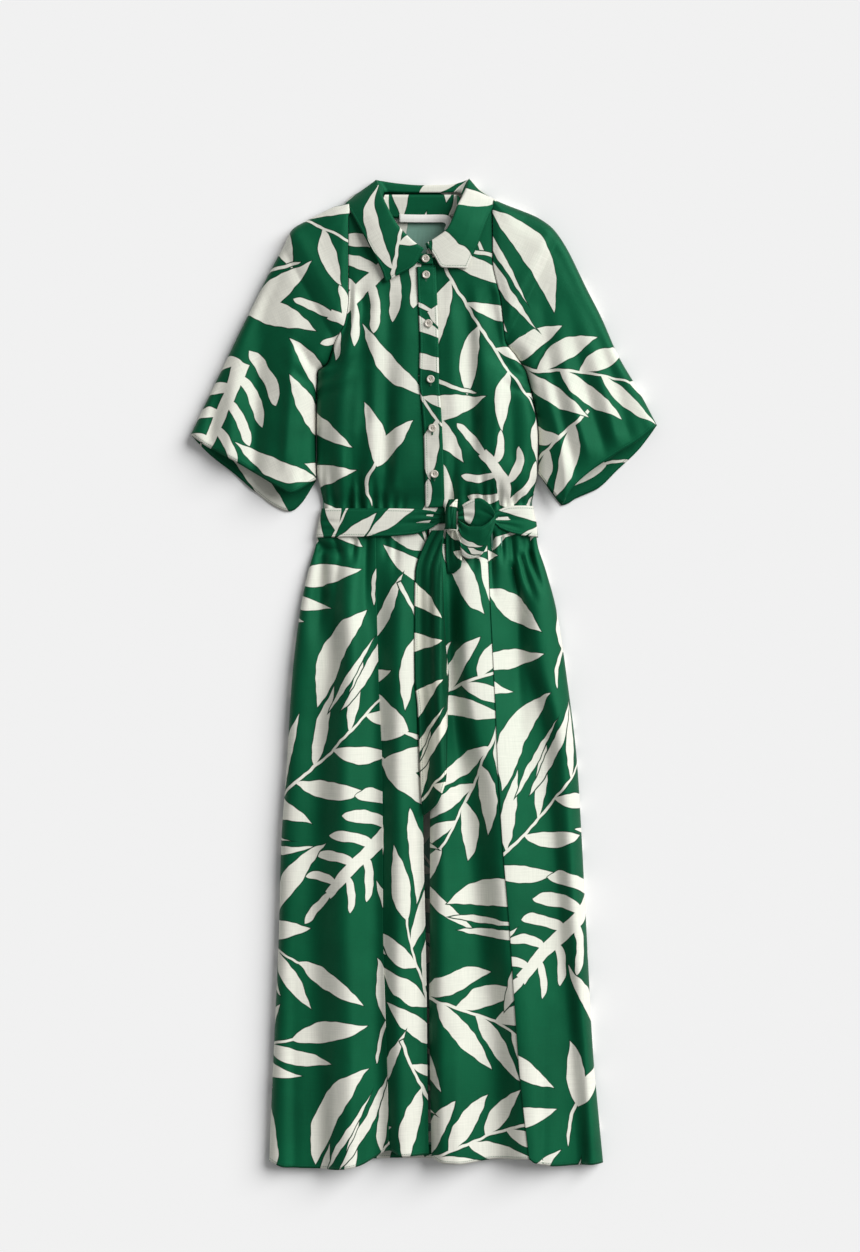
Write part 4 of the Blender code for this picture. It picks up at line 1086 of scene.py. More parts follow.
def plain_weave(n, g):
    """Fine plain weave: height of the threads, and how much each thread's colour differs."""
    apart = n.add("SeparateXYZ", g["Place"])
    warp, weft = (
        n.math("SINE", n.math("MULTIPLY", apart.outputs[axis], math.tau / THREAD_REPEAT)) for axis in "XY"
    )
    height = n.math("MULTIPLY", n.math("MULTIPLY", warp, weft), THREAD_HEIGHT)
    scales = ((SLUB_SHORT, SLUB_LONG, 1.0), (SLUB_LONG, SLUB_SHORT, 1.0))
    stretched = [n.vector("MULTIPLY", g["Place"], scale) for scale in scales]
    slubs = [n.add("TexNoise", place, None, 1.0, 1.0).outputs["Fac"] for place in stretched]
    slub = n.math("MULTIPLY_ADD", n.math("ADD", *slubs), 1.0, -0.5)
    creped = n.add("TexNoise", g["Place"], None, CREPE_SCALE, 2.0).outputs["Fac"]
    return [n.math("MULTIPLY_ADD", creped, CREPE_HEIGHT, height), slub]


WEAVE = group("plain weave", [("Place", "Vector")], floats("Height", "Slub"), plain_weave)

STITCH_REPEAT = 0.0031
STITCH_EDGE = 9.0  # sharpness of a stitch's ends
STITCH_FULL = 3.9  # the larger this is, the shorter the gap between two stitches
THREAD_EDGE, DITCH_EDGE, ROLL_EDGE = 2200.0, 700.0, 420.0  # one over the half width of each, in metres
THREAD_RISE, DITCH_DEPTH, ROLL_DEPTH, PUCKER_RISE = 0.0003, 0.00035, 0.0005, 0.00035
PUCKER_SCALE, PUCKER_REACH = 190.0, 1.3  # the pucker ends just past the stitches


def near_zero(n, value, sharpness):
    """1 where a value is 0, falling evenly to 0 on both sides of it."""
    return n.math("MULTIPLY_ADD", value, -sharpness, 1.0, limit=True)


def topstitch(n, g):
    """A row of stitches beside an edge, with the edge's own soft roll: thread mask and height."""
    apart = n.add("SeparateXYZ", g["Edge"])
    along, away = apart.outputs["X"], apart.outputs["Y"]
    off = n.math("ABSOLUTE", n.math("SUBTRACT", away, g["Inset"]))
    near, ditch = near_zero(n, off, THREAD_EDGE), near_zero(n, off, DITCH_EDGE)
    step = n.math("FRACT", n.math("MULTIPLY", along, 1 / STITCH_REPEAT))
    off_middle = n.math("ABSOLUTE", n.math("SUBTRACT", step, 0.5))
    stitch = n.math("MULTIPLY_ADD", off_middle, -STITCH_EDGE, STITCH_FULL, limit=True)
    thread = n.math("MULTIPLY", near, stitch)
    roll = near_zero(n, n.math("ABSOLUTE", away), ROLL_EDGE)
    pucker = n.add("TexNoise", g["Edge"], None, PUCKER_SCALE, 1.0).outputs["Fac"]
    inside = n.math("LESS_THAN", away, n.math("MULTIPLY", g["Inset"], PUCKER_REACH))
    low = n.math("MULTIPLY_ADD", n.math("MULTIPLY", pucker, inside), PUCKER_RISE,
                 n.math("MULTIPLY", roll, -ROLL_DEPTH))
    low = n.math("MULTIPLY_ADD", ditch, -DITCH_DEPTH, low)
    return [thread, n.math("MULTIPLY_ADD", thread, THREAD_RISE, low)]


STITCH = group("topstitch", [("Edge", "Vector")] + floats("Inset"), floats("Thread", "Height"), topstitch)


def finish(name, roughness, **settings):
    made = bpy.data.materials.new(name)
    made.use_nodes = True
    nodes = Nodes(made.node_tree)
    shader = made.node_tree.nodes["Principled BSDF"]
    shader.inputs["Roughness"].default_value = roughness
    for label, value in settings.items():
        shader.inputs[label.replace("_", " ")].default_value = value
    return made, nodes, shader


def mixed(n, amount, first, second, blend="MIX"):
    node = n.add("Mix", data_type="RGBA", blend_type=blend)
    colours = [s for s in node.inputs if s.type == "RGBA"]
    n.put(node.inputs[0], amount)
    n.put(colours[0], (*first, 1) if isinstance(first, tuple) else first)
    n.put(colours[1], (*second, 1) if isinstance(second, tuple) else second)
    return [s for s in node.outputs if s.type == "RGBA"][0]


def bumped(n, shader, height, strength=1.0):
    """Gives a material fine relief from a height in metres."""
    bump = n.add("Bump")
    bump.inputs["Strength"].default_value = strength
    bump.inputs["Distance"].default_value = 1.0
    n.put(bump.inputs["Height"], height)
    n.put(shader.inputs["Normal"], bump.outputs[0])


def srgb(red, green, blue):
    """A colour given as it looks on a screen, 0 to 255, in linear light."""
    return tuple(
        v / 12.92 if v <= 0.04045 else ((v + 0.055) / 1.055) ** 2.4
        for v in (red / 255, green / 255, blue / 255)
    )


STITCH_INSET = 0.0032  # from the edge to the topstitching
VISCOSE = dict(Sheen_Weight=0.01, Sheen_Roughness=0.4, Specular_IOR_Level=0.38)
VISCOSE_SHINE = (0.15, 1.0, 0.5)  # tint of its reflections
SLUB_TONE = (0.24, 0.88)  # how much the threads differ in colour, and the darkest of them
SLUB_ROUGH = 0.12
CLOTH_RELIEF = 0.8
GROUND_CHANGE = (9.0, 3.0, 0.6)  # scale, detail and roughness of the ground's slow change of green


def printed_viscose(name, roughness, ground, worn, outline, pale, thread):
    """Printed cloth: the print's two colours, thread by thread differences, topstitching at the hems."""
    made, n, shader = finish(name, roughness, **VISCOSE)
    shader.inputs["Specular Tint"].default_value = (*VISCOSE_SHINE, 1.0)
    place = n.add("UVMap", uv_map="print").outputs["UV"]
    edge = n.add("UVMap", uv_map="edge").outputs["UV"]
    printed = n.place(PRINT_GROUP, Place=place).outputs
    weave = n.place(WEAVE, Place=place).outputs
    stitch = n.place(STITCH, Edge=edge, Inset=STITCH_INSET).outputs
    broad = n.add("TexNoise", place, None, *GROUND_CHANGE).outputs["Fac"]
    green = mixed(n, printed["Outline"], mixed(n, broad, ground, worn), outline)
    colour = mixed(n, printed["Pale"], green, pale)
    slub = n.math("MULTIPLY_ADD", weave["Slub"], *SLUB_TONE)
    toned = n.add("CombineXYZ", slub, slub, slub).outputs[0]
    colour = mixed(n, 1.0, colour, toned, "MULTIPLY")
    n.put(shader.inputs["Base Color"], mixed(n, stitch["Thread"], colour, thread))
    bumped(n, shader, n.math("ADD", weave["Height"], stitch["Height"]), CLOTH_RELIEF)
    rough = n.math("MULTIPLY_ADD", weave["Slub"], SLUB_ROUGH, roughness - SLUB_ROUGH / 2)
    n.put(shader.inputs["Roughness"], rough)
    return made


OUTLINE = srgb(1, 17, 10)
LEAF_PRINT = printed_viscose(
    "leaf_print_viscose", 0.52, srgb(5, 53, 34), srgb(9, 85, 54), OUTLINE, srgb(221, 218, 208),
    srgb(24, 98, 68)
)
LEAF_PRINT_PAINTED_SHADE = printed_viscose(  # painted shade: darker greens for the belt's knot and tails, which lie in shade, and a slightly lighter pale
    "leaf_print_viscose_painted_shade", 0.52, srgb(3, 46, 28), srgb(5, 70, 44), OUTLINE, srgb(230, 227, 212),
    srgb(18, 76, 52)
)
LEAF_PRINT_INSIDE = printed_viscose(
    "leaf_print_wrong_side", 0.62, srgb(108, 144, 132), srgb(128, 160, 148), srgb(100, 134, 123),
    srgb(206, 203, 195), srgb(24, 98, 68)
)

RIB_REPEATS, RIB_HEIGHT = (("X", 0.0007), ("Y", 0.0005)), 0.00003  # of the tape's weave, in metres
TAPE_SPECK = (400.0, 2.0)  # scale and detail
THREAD_TWIST = (2200.0, 2.0, 1.0)  # scale, distortion and detail
SHELL_CLOUD = (330.0, 3.0, 0.7)  # scale, detail and roughness
SHELL_BAND = (420.0, 6.0, 2.0)  # scale, distortion and detail
SHELL_BANDED = 0.35  # share of the bands in the shell's tone, the clouds have the rest


def tape_finish():
    made, n, shader = finish("label_tape", 0.55, Sheen_Weight=0.2)
    place = n.add("UVMap", uv_map="edge").outputs["UV"]
    apart = n.add("SeparateXYZ", place)
    ribs = [
        n.math("SINE", n.math("MULTIPLY", apart.outputs[axis], math.tau / repeat))
        for axis, repeat in RIB_REPEATS
    ]
    height = n.math("MULTIPLY", n.math("ADD", *ribs), RIB_HEIGHT)
    speck = n.add("TexNoise", place, None, *TAPE_SPECK).outputs["Fac"]
    n.put(shader.inputs["Base Color"], mixed(n, speck, srgb(226, 225, 219), srgb(244, 243, 239)))
    bumped(n, shader, height)
    return made


def shell_finish():
    """Pale shell with soft cloudy bands."""
    made, n, shader = finish("button_shell", 0.24, Coat_Weight=0.5, Coat_Roughness=0.12)
    place = n.add("TexCoord").outputs["Object"]
    cloud = n.add("TexNoise", place, None, *SHELL_CLOUD).outputs["Fac"]
    band = n.add("TexWave", place, *SHELL_BAND, bands_direction="DIAGONAL").outputs["Fac"]
    tone = n.math("MULTIPLY_ADD", band, SHELL_BANDED, n.math("MULTIPLY", cloud, 1 - SHELL_BANDED))
    n.put(shader.inputs["Base Color"], mixed(n, tone, srgb(138, 128, 112), srgb(240, 234, 222)))
    return made


def thread_finish(name, dark, light):
    made, n, shader = finish(name, 0.6, Sheen_Weight=0.2)
    place = n.add("TexCoord").outputs["Object"]
    twist = n.add("TexWave", place, *THREAD_TWIST, bands_direction="DIAGONAL").outputs["Fac"]
    n.put(shader.inputs["Base Color"], mixed(n, twist, dark, light))
    return made


TAPE, SHELL = tape_finish(), shell_finish()
THREAD = thread_finish("sewing_thread", srgb(176, 166, 148), srgb(226, 219, 205))
GREEN_THREAD = thread_finish("green_thread", srgb(12, 62, 42), srgb(26, 98, 68))

# ---------------- body panels

WAIST_ROW = 0.4  # y of a bodice's lowest row
BACK_NECK = 398.0  # y of the back bodice's highest row
LEVEL_ROWS, NECK_ROWS = 78, 27  # of a front bodice, up to BODICE_LEVEL and from there to the neckline
SKIRT_TOP = 0.0005  # where a skirt's rows begin, as a share of its length
SKIRT_ROWS = 190
# Steps across a panel: round its edge, and over the flat from there.
BACK_BODICE_STEPS = (10, 42)
FRONT_BODICE_STEPS = (16, 40)
BACK_SKIRT_STEPS = (10, 44)
FRONT_SKIRT_STEPS = (16, 32)
HEM_SPAN = (2 / 3, 1 / 3)  # from the middle to the side the back's hem gets longer here
PLACKET_TOP = 335.5
PLACKET_PUFF = 0.35  # how much the strip bulges between its two rows of stitches
FOLD_TURN = 75  # degrees round the edge of a pleat, either way
OPENING_SPAN = (0.0, 60.0)  # the front opening gets to its full depth over this length below the waist
FACING_COLUMNS = (0.1, 0.3, 0.55, 0.8, 1.0)  # of the cloth that hangs into the opening, as shares
FACING_LEAN = 1.2  # how far it leans back from the opening


def both_halves(left, right, near):
    """x across a whole panel, from distances across its half."""
    return np.concatenate([left + near, right - near[:, -2::-1]], axis=1)


def bodice_back():
    y = np.linspace(WAIST_ROW, BACK_NECK, 118)[:, None]
    left, right = read(BODY, "left", y), read(BODY, "right", y)
    near = []
    for half, turned in zip((right - left)[:, 0] / 2, side_seam(y)):
        rounded = lying_flat(BACK_REACH, half, *BACK_BODICE_STEPS)
        near.append(rounded * turned + np.linspace(0, half, len(rounded)) * (1 - turned))
    x = both_halves(left, right, np.array(near))
    points = grid(x, y, back(x, y))
    return cloth("back_bodice", points, unrolled("back_bodice", points, x.shape[1] // 2), edges(points))


def under_lap(x, y):
    """The left front lies one layer lower where the right front laps over it."""
    lap = read(PLACKET, "right", np.minimum(y, NECKLINE_LOW)) + LAP_SPARE
    return LAP_DROP * (1 - risen(x, (lap, LAP_WIDTH)))


def bodice_front(name, edge, inner, under=False, flip=False):
    straight = np.linspace(WAIST_ROW, BODICE_LEVEL, LEVEL_ROWS)
    levels = np.concatenate([straight, BODICE_LEVEL + np.linspace(0, 1, NECK_ROWS)[1:]])
    low = np.minimum(levels, BODICE_LEVEL)
    wide = np.abs(read(BODY, edge, low) - read(PLACKET, inner, low))
    part = np.array([lying_flat(r, w, *FRONT_BODICE_STEPS) / w for r, w in zip(side_reach(low), wide)])
    top = through(NECKLINE["across"], NECKLINE[edge], part)
    y = low[:, None] + (levels - low)[:, None] * (top - BODICE_LEVEL)
    side, front_edge = read(BODY, edge, y), read(PLACKET, inner, np.minimum(y, NECKLINE_LOW))
    x = side + (front_edge - side) * part
    points = grid(x, y, front(x, y) - (under_lap(x, y) if under else 0))
    return cloth(name, points, unrolled(name, points, -1), edges(points), flip)


def placket():
    y = np.linspace(PLACKET_BASE, PLACKET_TOP, 112)[:, None]
    part = np.linspace(0, 1, 13)
    left, right = read(PLACKET, "left", y), read(PLACKET, "right", y)
    x = left + (right - left) * part
    puff = PLACKET_PUFF * np.sin(math.pi * part) + soft(x, y, "placket")
    points = grid(x, y, front(x, y) + LIE + puff)
    return cloth("placket", points, unrolled("placket", points, 0), edges(points, "left", "right"), True)


def skirt_back():
    part = np.linspace(SKIRT_TOP, 1, SKIRT_ROWS)[:, None]
    level = -part * HEM_LEVEL
    left, right = read(BODY, "left", level), read(BODY, "right", level)
    near = [lying_flat(BACK_REACH, half, *BACK_SKIRT_STEPS) for half in (right - left)[:, 0] / 2]
    x = both_halves(left, right, np.array(near))
    off_middle = np.abs(2 * x - (left + right)) / (right - left)
    y = -part * (BACK_HEM + (HEM_LEVEL - BACK_HEM) * risen(off_middle, HEM_SPAN))
    points = grid(x, y, back(x, level))
    flat = unrolled("back_skirt", points, x.shape[1] // 2)
    return cloth("back_skirt", points, flat, edges(points, "last"), True)


def skirt_sections(level, side, pleat, slit, inward):
    """x, and the drop below the body's height, over a front skirt's rows from the side to the centre."""
    edge, fold, centre = read(BODY, side, level), read(SKIRT, pleat, level), read(SKIRT, slit, level)
    bend = PLEAT_DROP / 2
    turn, under = fold - inward * bend, fold - inward * PLEAT_DEPTH
    wide = np.abs(turn - edge)[:, 0]
    side_panel = np.array([lying_flat(SIDE_REACH, w, *FRONT_SKIRT_STEPS) for w in wide])
    round_fold = np.radians(np.linspace(FOLD_TURN, -FOLD_TURN, 9))
    under_fold = np.linspace(0, 1, 9)
    open_ = risen(-level, OPENING_SPAN)
    middle = under + (centre - under) * np.linspace(0, 1, 34)
    dip = SLIT_DIP * (1 - ramp(np.abs(centre - middle) / SLIT_REACH)) * open_
    facing = np.array(FACING_COLUMNS)
    low = PLEAT_DROP + PLEAT_STEP
    strips = [
        (edge + inward * side_panel, 0),
        (turn + inward * bend * np.cos(round_fold), bend - bend * np.sin(round_fold)),
        (turn + (under - turn) * under_fold, PLEAT_DROP),
        (under - inward * PLEAT_STEP / 2, PLEAT_DROP + PLEAT_STEP / 2),
        (middle, low + dip),
        (centre - inward * facing * FACING_LEAN, low + dip[:, -1:] + SLIT_FACING * open_ * facing),
    ]
    return (np.concatenate(part, axis=1) for part in zip(*(np.broadcast_arrays(*s) for s in strips)))


def skirt_front(name, side, pleat, slit, hem, inward):
    part = np.linspace(SKIRT_TOP, 1, SKIRT_ROWS)[:, None]
    level = -part * HEM_LEVEL
    x, drop = skirt_sections(level, side, pleat, slit, inward)
    y = -part * through(hem["x"], hem["drop"], x[-1])
    points = grid(x, y, height(x, level) - drop + sag(x, y))
    flat = unrolled(name, points, -1 - len(FACING_COLUMNS))
    return cloth(name, points, flat, edges(points, "last", "right"), inward < 0)


# ---------------- sleeves

SLEEVE_ROWS = 97
SLEEVE_EDGE = 6.0  # height of the outer edge
SLEEVE_CLOSED = (7.0, 1.0)  # rows over which the back comes to meet the front at the underarm
SLEEVE_INNER_REACH = 32.0  # widths over which a sleeve rounds, at full size
SLEEVE_OUTER_REACH = 36.0
SLEEVE_FULL = 95.0  # a sleeve narrower than this has its rounding scaled down
SLEEVE_TILT = 9.0  # how much a sleeve falls from the body's side to its outer edge
SLEEVE_LEVEL = 0.4  # where across the sleeve that fall is level with the crown
SLEEVE_SEAM = 0.6  # how far the crown stays over the seam, as a share of the crease's dip
SLEEVE_CALM = 22.0  # the sleeve's folds fade out this far from its edges
SLEEVE_UNDER_FOLDS = 0.6  # depth of the folds underneath, as a share of those on top
SLEEVE_OVER_STEPS = (14, 34)  # round each edge, and over the flat between
SLEEVE_UNDER_STEPS = (9, 40)


def rounded_at_both(near_reach, far_reach, width, steps, between):
    """Distances across a tube that is pressed flat, closest together where its two edges round over."""
    turned = 1 - np.cos(np.linspace(0, math.pi / 2, steps))
    near, far = near_reach * turned, width - far_reach * turned[::-1]
    middle = near[:, -1:] + (far[:, :1] - near[:, -1:]) * np.linspace(0, 1, between + 2)[1:-1]
    return np.concatenate([near, middle, far], axis=1)


def sleeve(name, columns, cuff, side, creases, flip=False):
    """An open tube: the front from the raglan seam or underarm to the outer edge, then the back."""
    at = np.linspace(0, len(columns["inner_y"]) - 1, SLEEVE_ROWS)[:, None]
    outer_x, outer_y, inner_y, inner_z, crown, slack = (row(columns, label, at) for label in SLEEVE.split())
    outward = math.copysign(1, outer_x[0, 0])
    inner = np.hstack([read(BODY, side, inner_y) + outward * SLEEVE_CLEAR, inner_y])
    chord = np.hstack([outer_x, outer_y]) - inner
    width = np.linalg.norm(chord, axis=1, keepdims=True)
    way = chord / width
    up = np.stack([-way[:, 1], way[:, 0]], axis=1) * outward
    scale = np.minimum(1, width / SLEEVE_FULL)

    over = rounded_at_both(SLEEVE_INNER_REACH * scale, SLEEVE_OUTER_REACH * scale, width, *SLEEVE_OVER_STEPS)
    seam_z = raised_rim(inner_z, read(BODY, "crown", inner_y), inner_y)
    crown = np.maximum(crown, seam_z + RAGLAN_DIP * SLEEVE_SEAM)
    rise = seam_z + SEAM + (crown - seam_z) * quarter(over / (side_reach(inner_y) * scale))
    fall = SLEEVE_EDGE + (crown - SLEEVE_EDGE) * quarter((width - over) / SLEEVE_OUTER_REACH / scale)

    under = rounded_at_both(BACK_REACH * scale, BACK_REACH * scale, width, *SLEEVE_UNDER_STEPS)[:, -2::-1]
    to_outer = SLEEVE_EDGE * (1 - quarter((width - under) / BACK_REACH / scale))
    closed = risen(at, SLEEVE_CLOSED) * (inner_z - SEAM)
    to_inner = closed * (1 - quarter(under / BACK_REACH / scale))

    across = np.hstack([over, under])
    drops = [read(cuff, label, half / width, "across") for label, half in (("front", over), ("back", under))]
    drop = slack * np.hstack(drops)
    spot = inner[:, None] + way[:, None] * across[..., None] - up[:, None] * drop[..., None]
    x, y = spot[..., 0], spot[..., 1]
    inside = ramp(np.minimum(across, width - across) / SLEEVE_CALM) * scale
    loose, pressed = soft(x, y, "sleeve"), folds(x, y, creases)
    on_front = loose + SLEEVE_TILT * (SLEEVE_LEVEL - across / width) - pressed
    on_back = 0.5 + 0.5 * loose + SLEEVE_UNDER_FOLDS * np.maximum(pressed, 0)
    is_front = np.arange(across.shape[1]) < over.shape[1]
    z = np.hstack([np.minimum(rise, fall), np.maximum(to_outer, to_inner)])
    z = z + inside * np.where(is_front, on_front, on_back)
    points = grid(x, y, z)

    laid = np.concatenate([way[:, None] * across[..., None], z[..., None]], axis=-1)
    run = run_lengths(laid, 1)
    middle = over.shape[1] // 2
    run = run - run[:, middle : middle + 1] + across[:, middle : middle + 1]
    flat = inner[:, None] + way[:, None] * run[..., None] - up[:, None] * drop[..., None]
    return cloth(name, points, on_print(name, flat[..., 0], flat[..., 1]), edges(points, "last"), flip)


# ---------------- neck


def along_rows(columns, label, at):
    return np.stack([row(columns, f"{label}_{axis}", at) for axis in "xyz"], axis=-1)


def collar_stand():
    at = np.linspace(0, len(NECK["neck_x"]) - 1, 150)
    neck, seam = along_rows(NECK, "neck", at), along_rows(NECK, "seam", at)
    points = neck[:, None] + (seam - neck)[:, None] * np.linspace(0, 1, 9)[:, None]
    flat = on_print("collar_stand", run_lengths(points, 0)[:, 4:5], run_lengths(points, 1))
    return cloth("collar_stand", points, flat, edges(points, "left", "first", "last"))


def collar_section(at):
    """A line across the collar: from the stand's seam, over the roll, to the outer edge."""
    seam, roll, middle, edge = (
        np.array([row(COLLAR, f"{name}_x", at), row(COLLAR, f"{name}_y", at)])
        for name in "seam roll mid edge".split()
    )
    heights = "inner_z outer_z mid_z edge_z"
    inner_z, outer_z, mid_z, edge_z = (row(COLLAR, name, at) for name in heights.split())
    to_seam = (seam - roll) / np.linalg.norm(seam - roll)
    to_middle = (middle - roll) / np.linalg.norm(middle - roll)
    between = (inner_z + outer_z) / 2
    return [
        (*seam, inner_z),
        (*(roll + to_seam * ROLL_RADIUS), inner_z + ROLL_FLAT * (between - inner_z)),
        (*roll, between),
        (*(roll + to_middle * ROLL_RADIUS), outer_z + ROLL_FLAT * (between - outer_z)),
        (*(roll + (middle - roll) / 2), (outer_z + mid_z) / 2),
        (*middle, mid_z),
        (*((middle + edge) / 2), (mid_z + edge_z) / 2 + LEAF_PUFF),
        (*edge, edge_z),
    ]


def collar():
    steps = np.concatenate([np.linspace(0, 4, 17), np.linspace(4, 7, 19)[1:]])
    lines = []
    for at in np.linspace(0, len(COLLAR["roll_x"]) - 1, 217):
        line = np.array(collar_section(at))
        lines.append(grid(*(through(np.arange(len(line)), axis, steps) for axis in line.T)))
    points = np.array(lines)
    roll, leaf = points[:, 8:9], points[:, 26:27]
    down = run_lengths((roll * 2 + leaf) / 3, 0)
    flat = on_print("collar", down, run_lengths(points, 1))
    return cloth("collar", points, flat, edges(points, "first", "last", "right"))


def neck_label():
    last = len(NECK_LABEL["x"]) - 1
    at = np.linspace(0, last, 64)
    here, after, before = (
        np.stack([row(NECK_LABEL, axis, place) for axis in "xy"], axis=-1)
        for place in (at, np.minimum(at + 0.1, last), np.maximum(at - 0.1, 0))
    )
    way = (after - before) / np.linalg.norm(after - before, axis=-1)[:, None]
    out = np.stack([-way[:, 1], way[:, 0]], axis=-1) * row(NECK_LABEL, "half", at)[:, None]
    part = np.linspace(1, -1, 9)
    x, y = (here[:, k, None] + out[:, k, None] * part for k in (0, 1))
    curl, wave = LABEL_CURL * np.cos(part * math.pi), LABEL_WAVE * np.sin(at * LABEL_WAVES)
    points = grid(x, y, (row(NECK_LABEL, "z", at)[:, None] + curl) + wave[:, None])
    return cloth("neck_label", points, edges(points, "left"), edges(points, "left", "right"), True,
                 finishes=(TAPE, TAPE))


# ---------------- belt

WAIST_STEP = 4.0  # between the sections of the body that the band is read from
BAND_ROWS = 19
BAND_RIGHT_STEPS, BAND_LEFT_STEPS, BAND_BACK_STEPS = (14, 36), (14, 26), (8, 30)
BAND_PUFF = 0.5
BAND_FREE = 14.0  # the band's folds reach full depth at this height over the surface
# Creases of the knot: degrees round it, how far they slant, width and depth.
KNOT_CREASES = [(62, 30, 9, 0.9), (104, -16, 10, 1.1), (138, 12, 8, 0.8), (28, -8, 8, 0.6)]
KNOT_CREASE_SHARE = 0.11
KNOT_SLANT = 2.2
KNOT_GATHER = 1.2  # how much more cloth there is than the knot is wide
LOOP_GATHERS = (2.6, 2.4)  # rows of the loop's table over which it is gathered, from each end
LOOP_PLEAT, LOOP_PLEATS, LOOP_PHASE = 1.1, 2.6, 0.8  # height, number across, and where they start
LOOP_CREASE = (0.3, 0.04, 0.07, 0.81)  # place across the loop, slant, width and depth
LOOP_TWIST = 3.0  # how far the softness shifts from row to row, so that front and back differ
TAIL_SPAN = (0.0, 60.0)  # below the waist a tail comes down to the skirt over this length
TAIL_CUT = (0.0, 24.0)  # its pleats fade out towards its end
BELT_FOLDS = [
    (22, 8, -34, 9, 1, 1.6, 2.2, 1.3),
    (20, 5, -58, -2, -1, 2, 3, 1.5),
    (16, 9.5, -20, 14, 0, 1.4, 2, 1.0),
    (8, 0, -44, -10, 1, 2, 3, 1.2),
    (-150, 6, -96, 2, 2, 2.5, 4, 0.9),
    (-148, -8, -104, -12, -2, 3, 3, 0.8),
    (42, 5, 84, 9, 1, 1.4, 2, 1.0),
    (92, 8, 128, 16, 2, 2, 3, 1.3),
    (90, 5, 134, 3, -1, 2, 3, 1.4),
    (92, 0, 130, -10, -2, 2, 3, 1.3),
]


def moved_out(path, distance):
    """A path of (x, z) points moved to its left by a distance, with the corners kept."""
    step = np.diff(path, axis=0)
    step /= np.linalg.norm(step, axis=1)[:, None]
    side = np.stack([-step[:, 1], step[:, 0]], axis=1)
    at_point = np.vstack([side[:1], side[:-1] + side[1:], side[-1:]])
    at_point /= np.linalg.norm(at_point, axis=1)[:, None]
    return path + at_point * distance


def waist_section(y):
    """(x, z) round the body at y: from the knot over the right side, the back and the left side."""
    left, right = read(BODY, "left", y), read(BODY, "right", y)
    over_right = left + lying_flat(SIDE_REACH, BELT_START - left, *BAND_RIGHT_STEPS)[::-1]
    over_left = right - lying_flat(SIDE_REACH, right - BELT_FINISH, *BAND_LEFT_STEPS)
    under = lying_flat(BACK_REACH, (right - left) / 2, *BAND_BACK_STEPS)
    below = np.concatenate([left + under, right - under[-2::-1]])
    path = [grid(x, form(x, np.full(len(x), float(y))))
            for x, form in ((over_right, height), (below, underside), (over_left, height))]
    return moved_out(np.vstack(path), -BELT_CLEAR), (len(over_right), len(over_right) + len(below))


def belt_band():
    middle, (first, last) = waist_section(0)
    x = middle[:, 0]
    top, bottom = np.full(len(x), BELT_BACK_TOP), np.full(len(x), BELT_BACK_BOTTOM)
    for half, chosen in ((BELT_FRONT_RIGHT, slice(0, first)), (BELT_FRONT_LEFT, slice(last, None))):
        top[chosen], bottom[chosen] = read(half, "top", x[chosen], "x"), read(half, "bottom", x[chosen], "x")
    part = np.linspace(0, 1, BAND_ROWS)[:, None]
    y = top + (bottom - top) * part
    lowest = math.floor(y.min() / WAIST_STEP)
    sections = np.array([
        waist_section(level * WAIST_STEP)[0] for level in range(lowest, math.floor(y.max() / WAIST_STEP) + 2)
    ])
    level = np.floor(y / WAIST_STEP).astype(int)
    share = (y / WAIST_STEP - level)[..., None]
    here = np.arange(len(x))
    spot = sections[level - lowest, here] * (1 - share) + sections[level + 1 - lowest, here] * share
    points = grid(spot[..., 0], y, spot[..., 1])
    on_front = np.ones(len(x))
    on_front[first:last] = 0
    lift_by = BAND_PUFF * np.sin(math.pi * part) - folds(points[..., 0], y, BELT_FOLDS)
    points[..., 2] += lift_by * on_front * ramp(points[..., 2] / BAND_FREE)
    flat = on_print("belt_band", run_lengths(points[BAND_ROWS // 2][None], 1), y)
    return cloth("belt_band", points, flat, edges(points, "first", "last"), True)


def belt_knot():
    """The belt wrapped once round its own crossing, gathered narrow."""
    at = np.linspace(0, len(KNOT["y"]) - 1, 49)[:, None]
    left, right, y, low, high = (row(KNOT, name, at) for name in "left right y low high".split())
    turn = np.linspace(KNOT_OPEN / 2 - 90, 270 - KNOT_OPEN / 2, 61)
    along = at / at[-1]
    crease = sum(
        depth * np.exp(-(((turn - place - slant * along) / wide) ** 2))
        for place, slant, wide, depth in KNOT_CREASES
    )
    grow = 1 - crease * KNOT_CREASE_SHARE
    across, up = np.cos(np.radians(turn)), np.sin(np.radians(turn))
    x = (left + right) / 2 + (right - left) / 2 * np.sign(across) * np.abs(across) ** KNOT_SQUARE * grow
    z = (low + high) / 2 + (high - low) / 2 * np.sign(up) * np.abs(up) ** KNOT_SQUARE * grow
    points = grid(x, y + KNOT_SLANT * across * (1 - (2 * along - 1) ** 2), z)
    middle = len(turn) // 2
    down = run_lengths(points, 0)[:, middle : middle + 1]
    flat = on_print("belt_knot", run_lengths(points, 1) * KNOT_GATHER, down)
    # The knot's cloth has painted shade: its greens are darker than the dress's.
    return cloth("belt_knot", points, flat, edges(points, "first", "last"), True,
                 finishes=(LEAF_PRINT_PAINTED_SHADE, LEAF_PRINT_INSIDE))


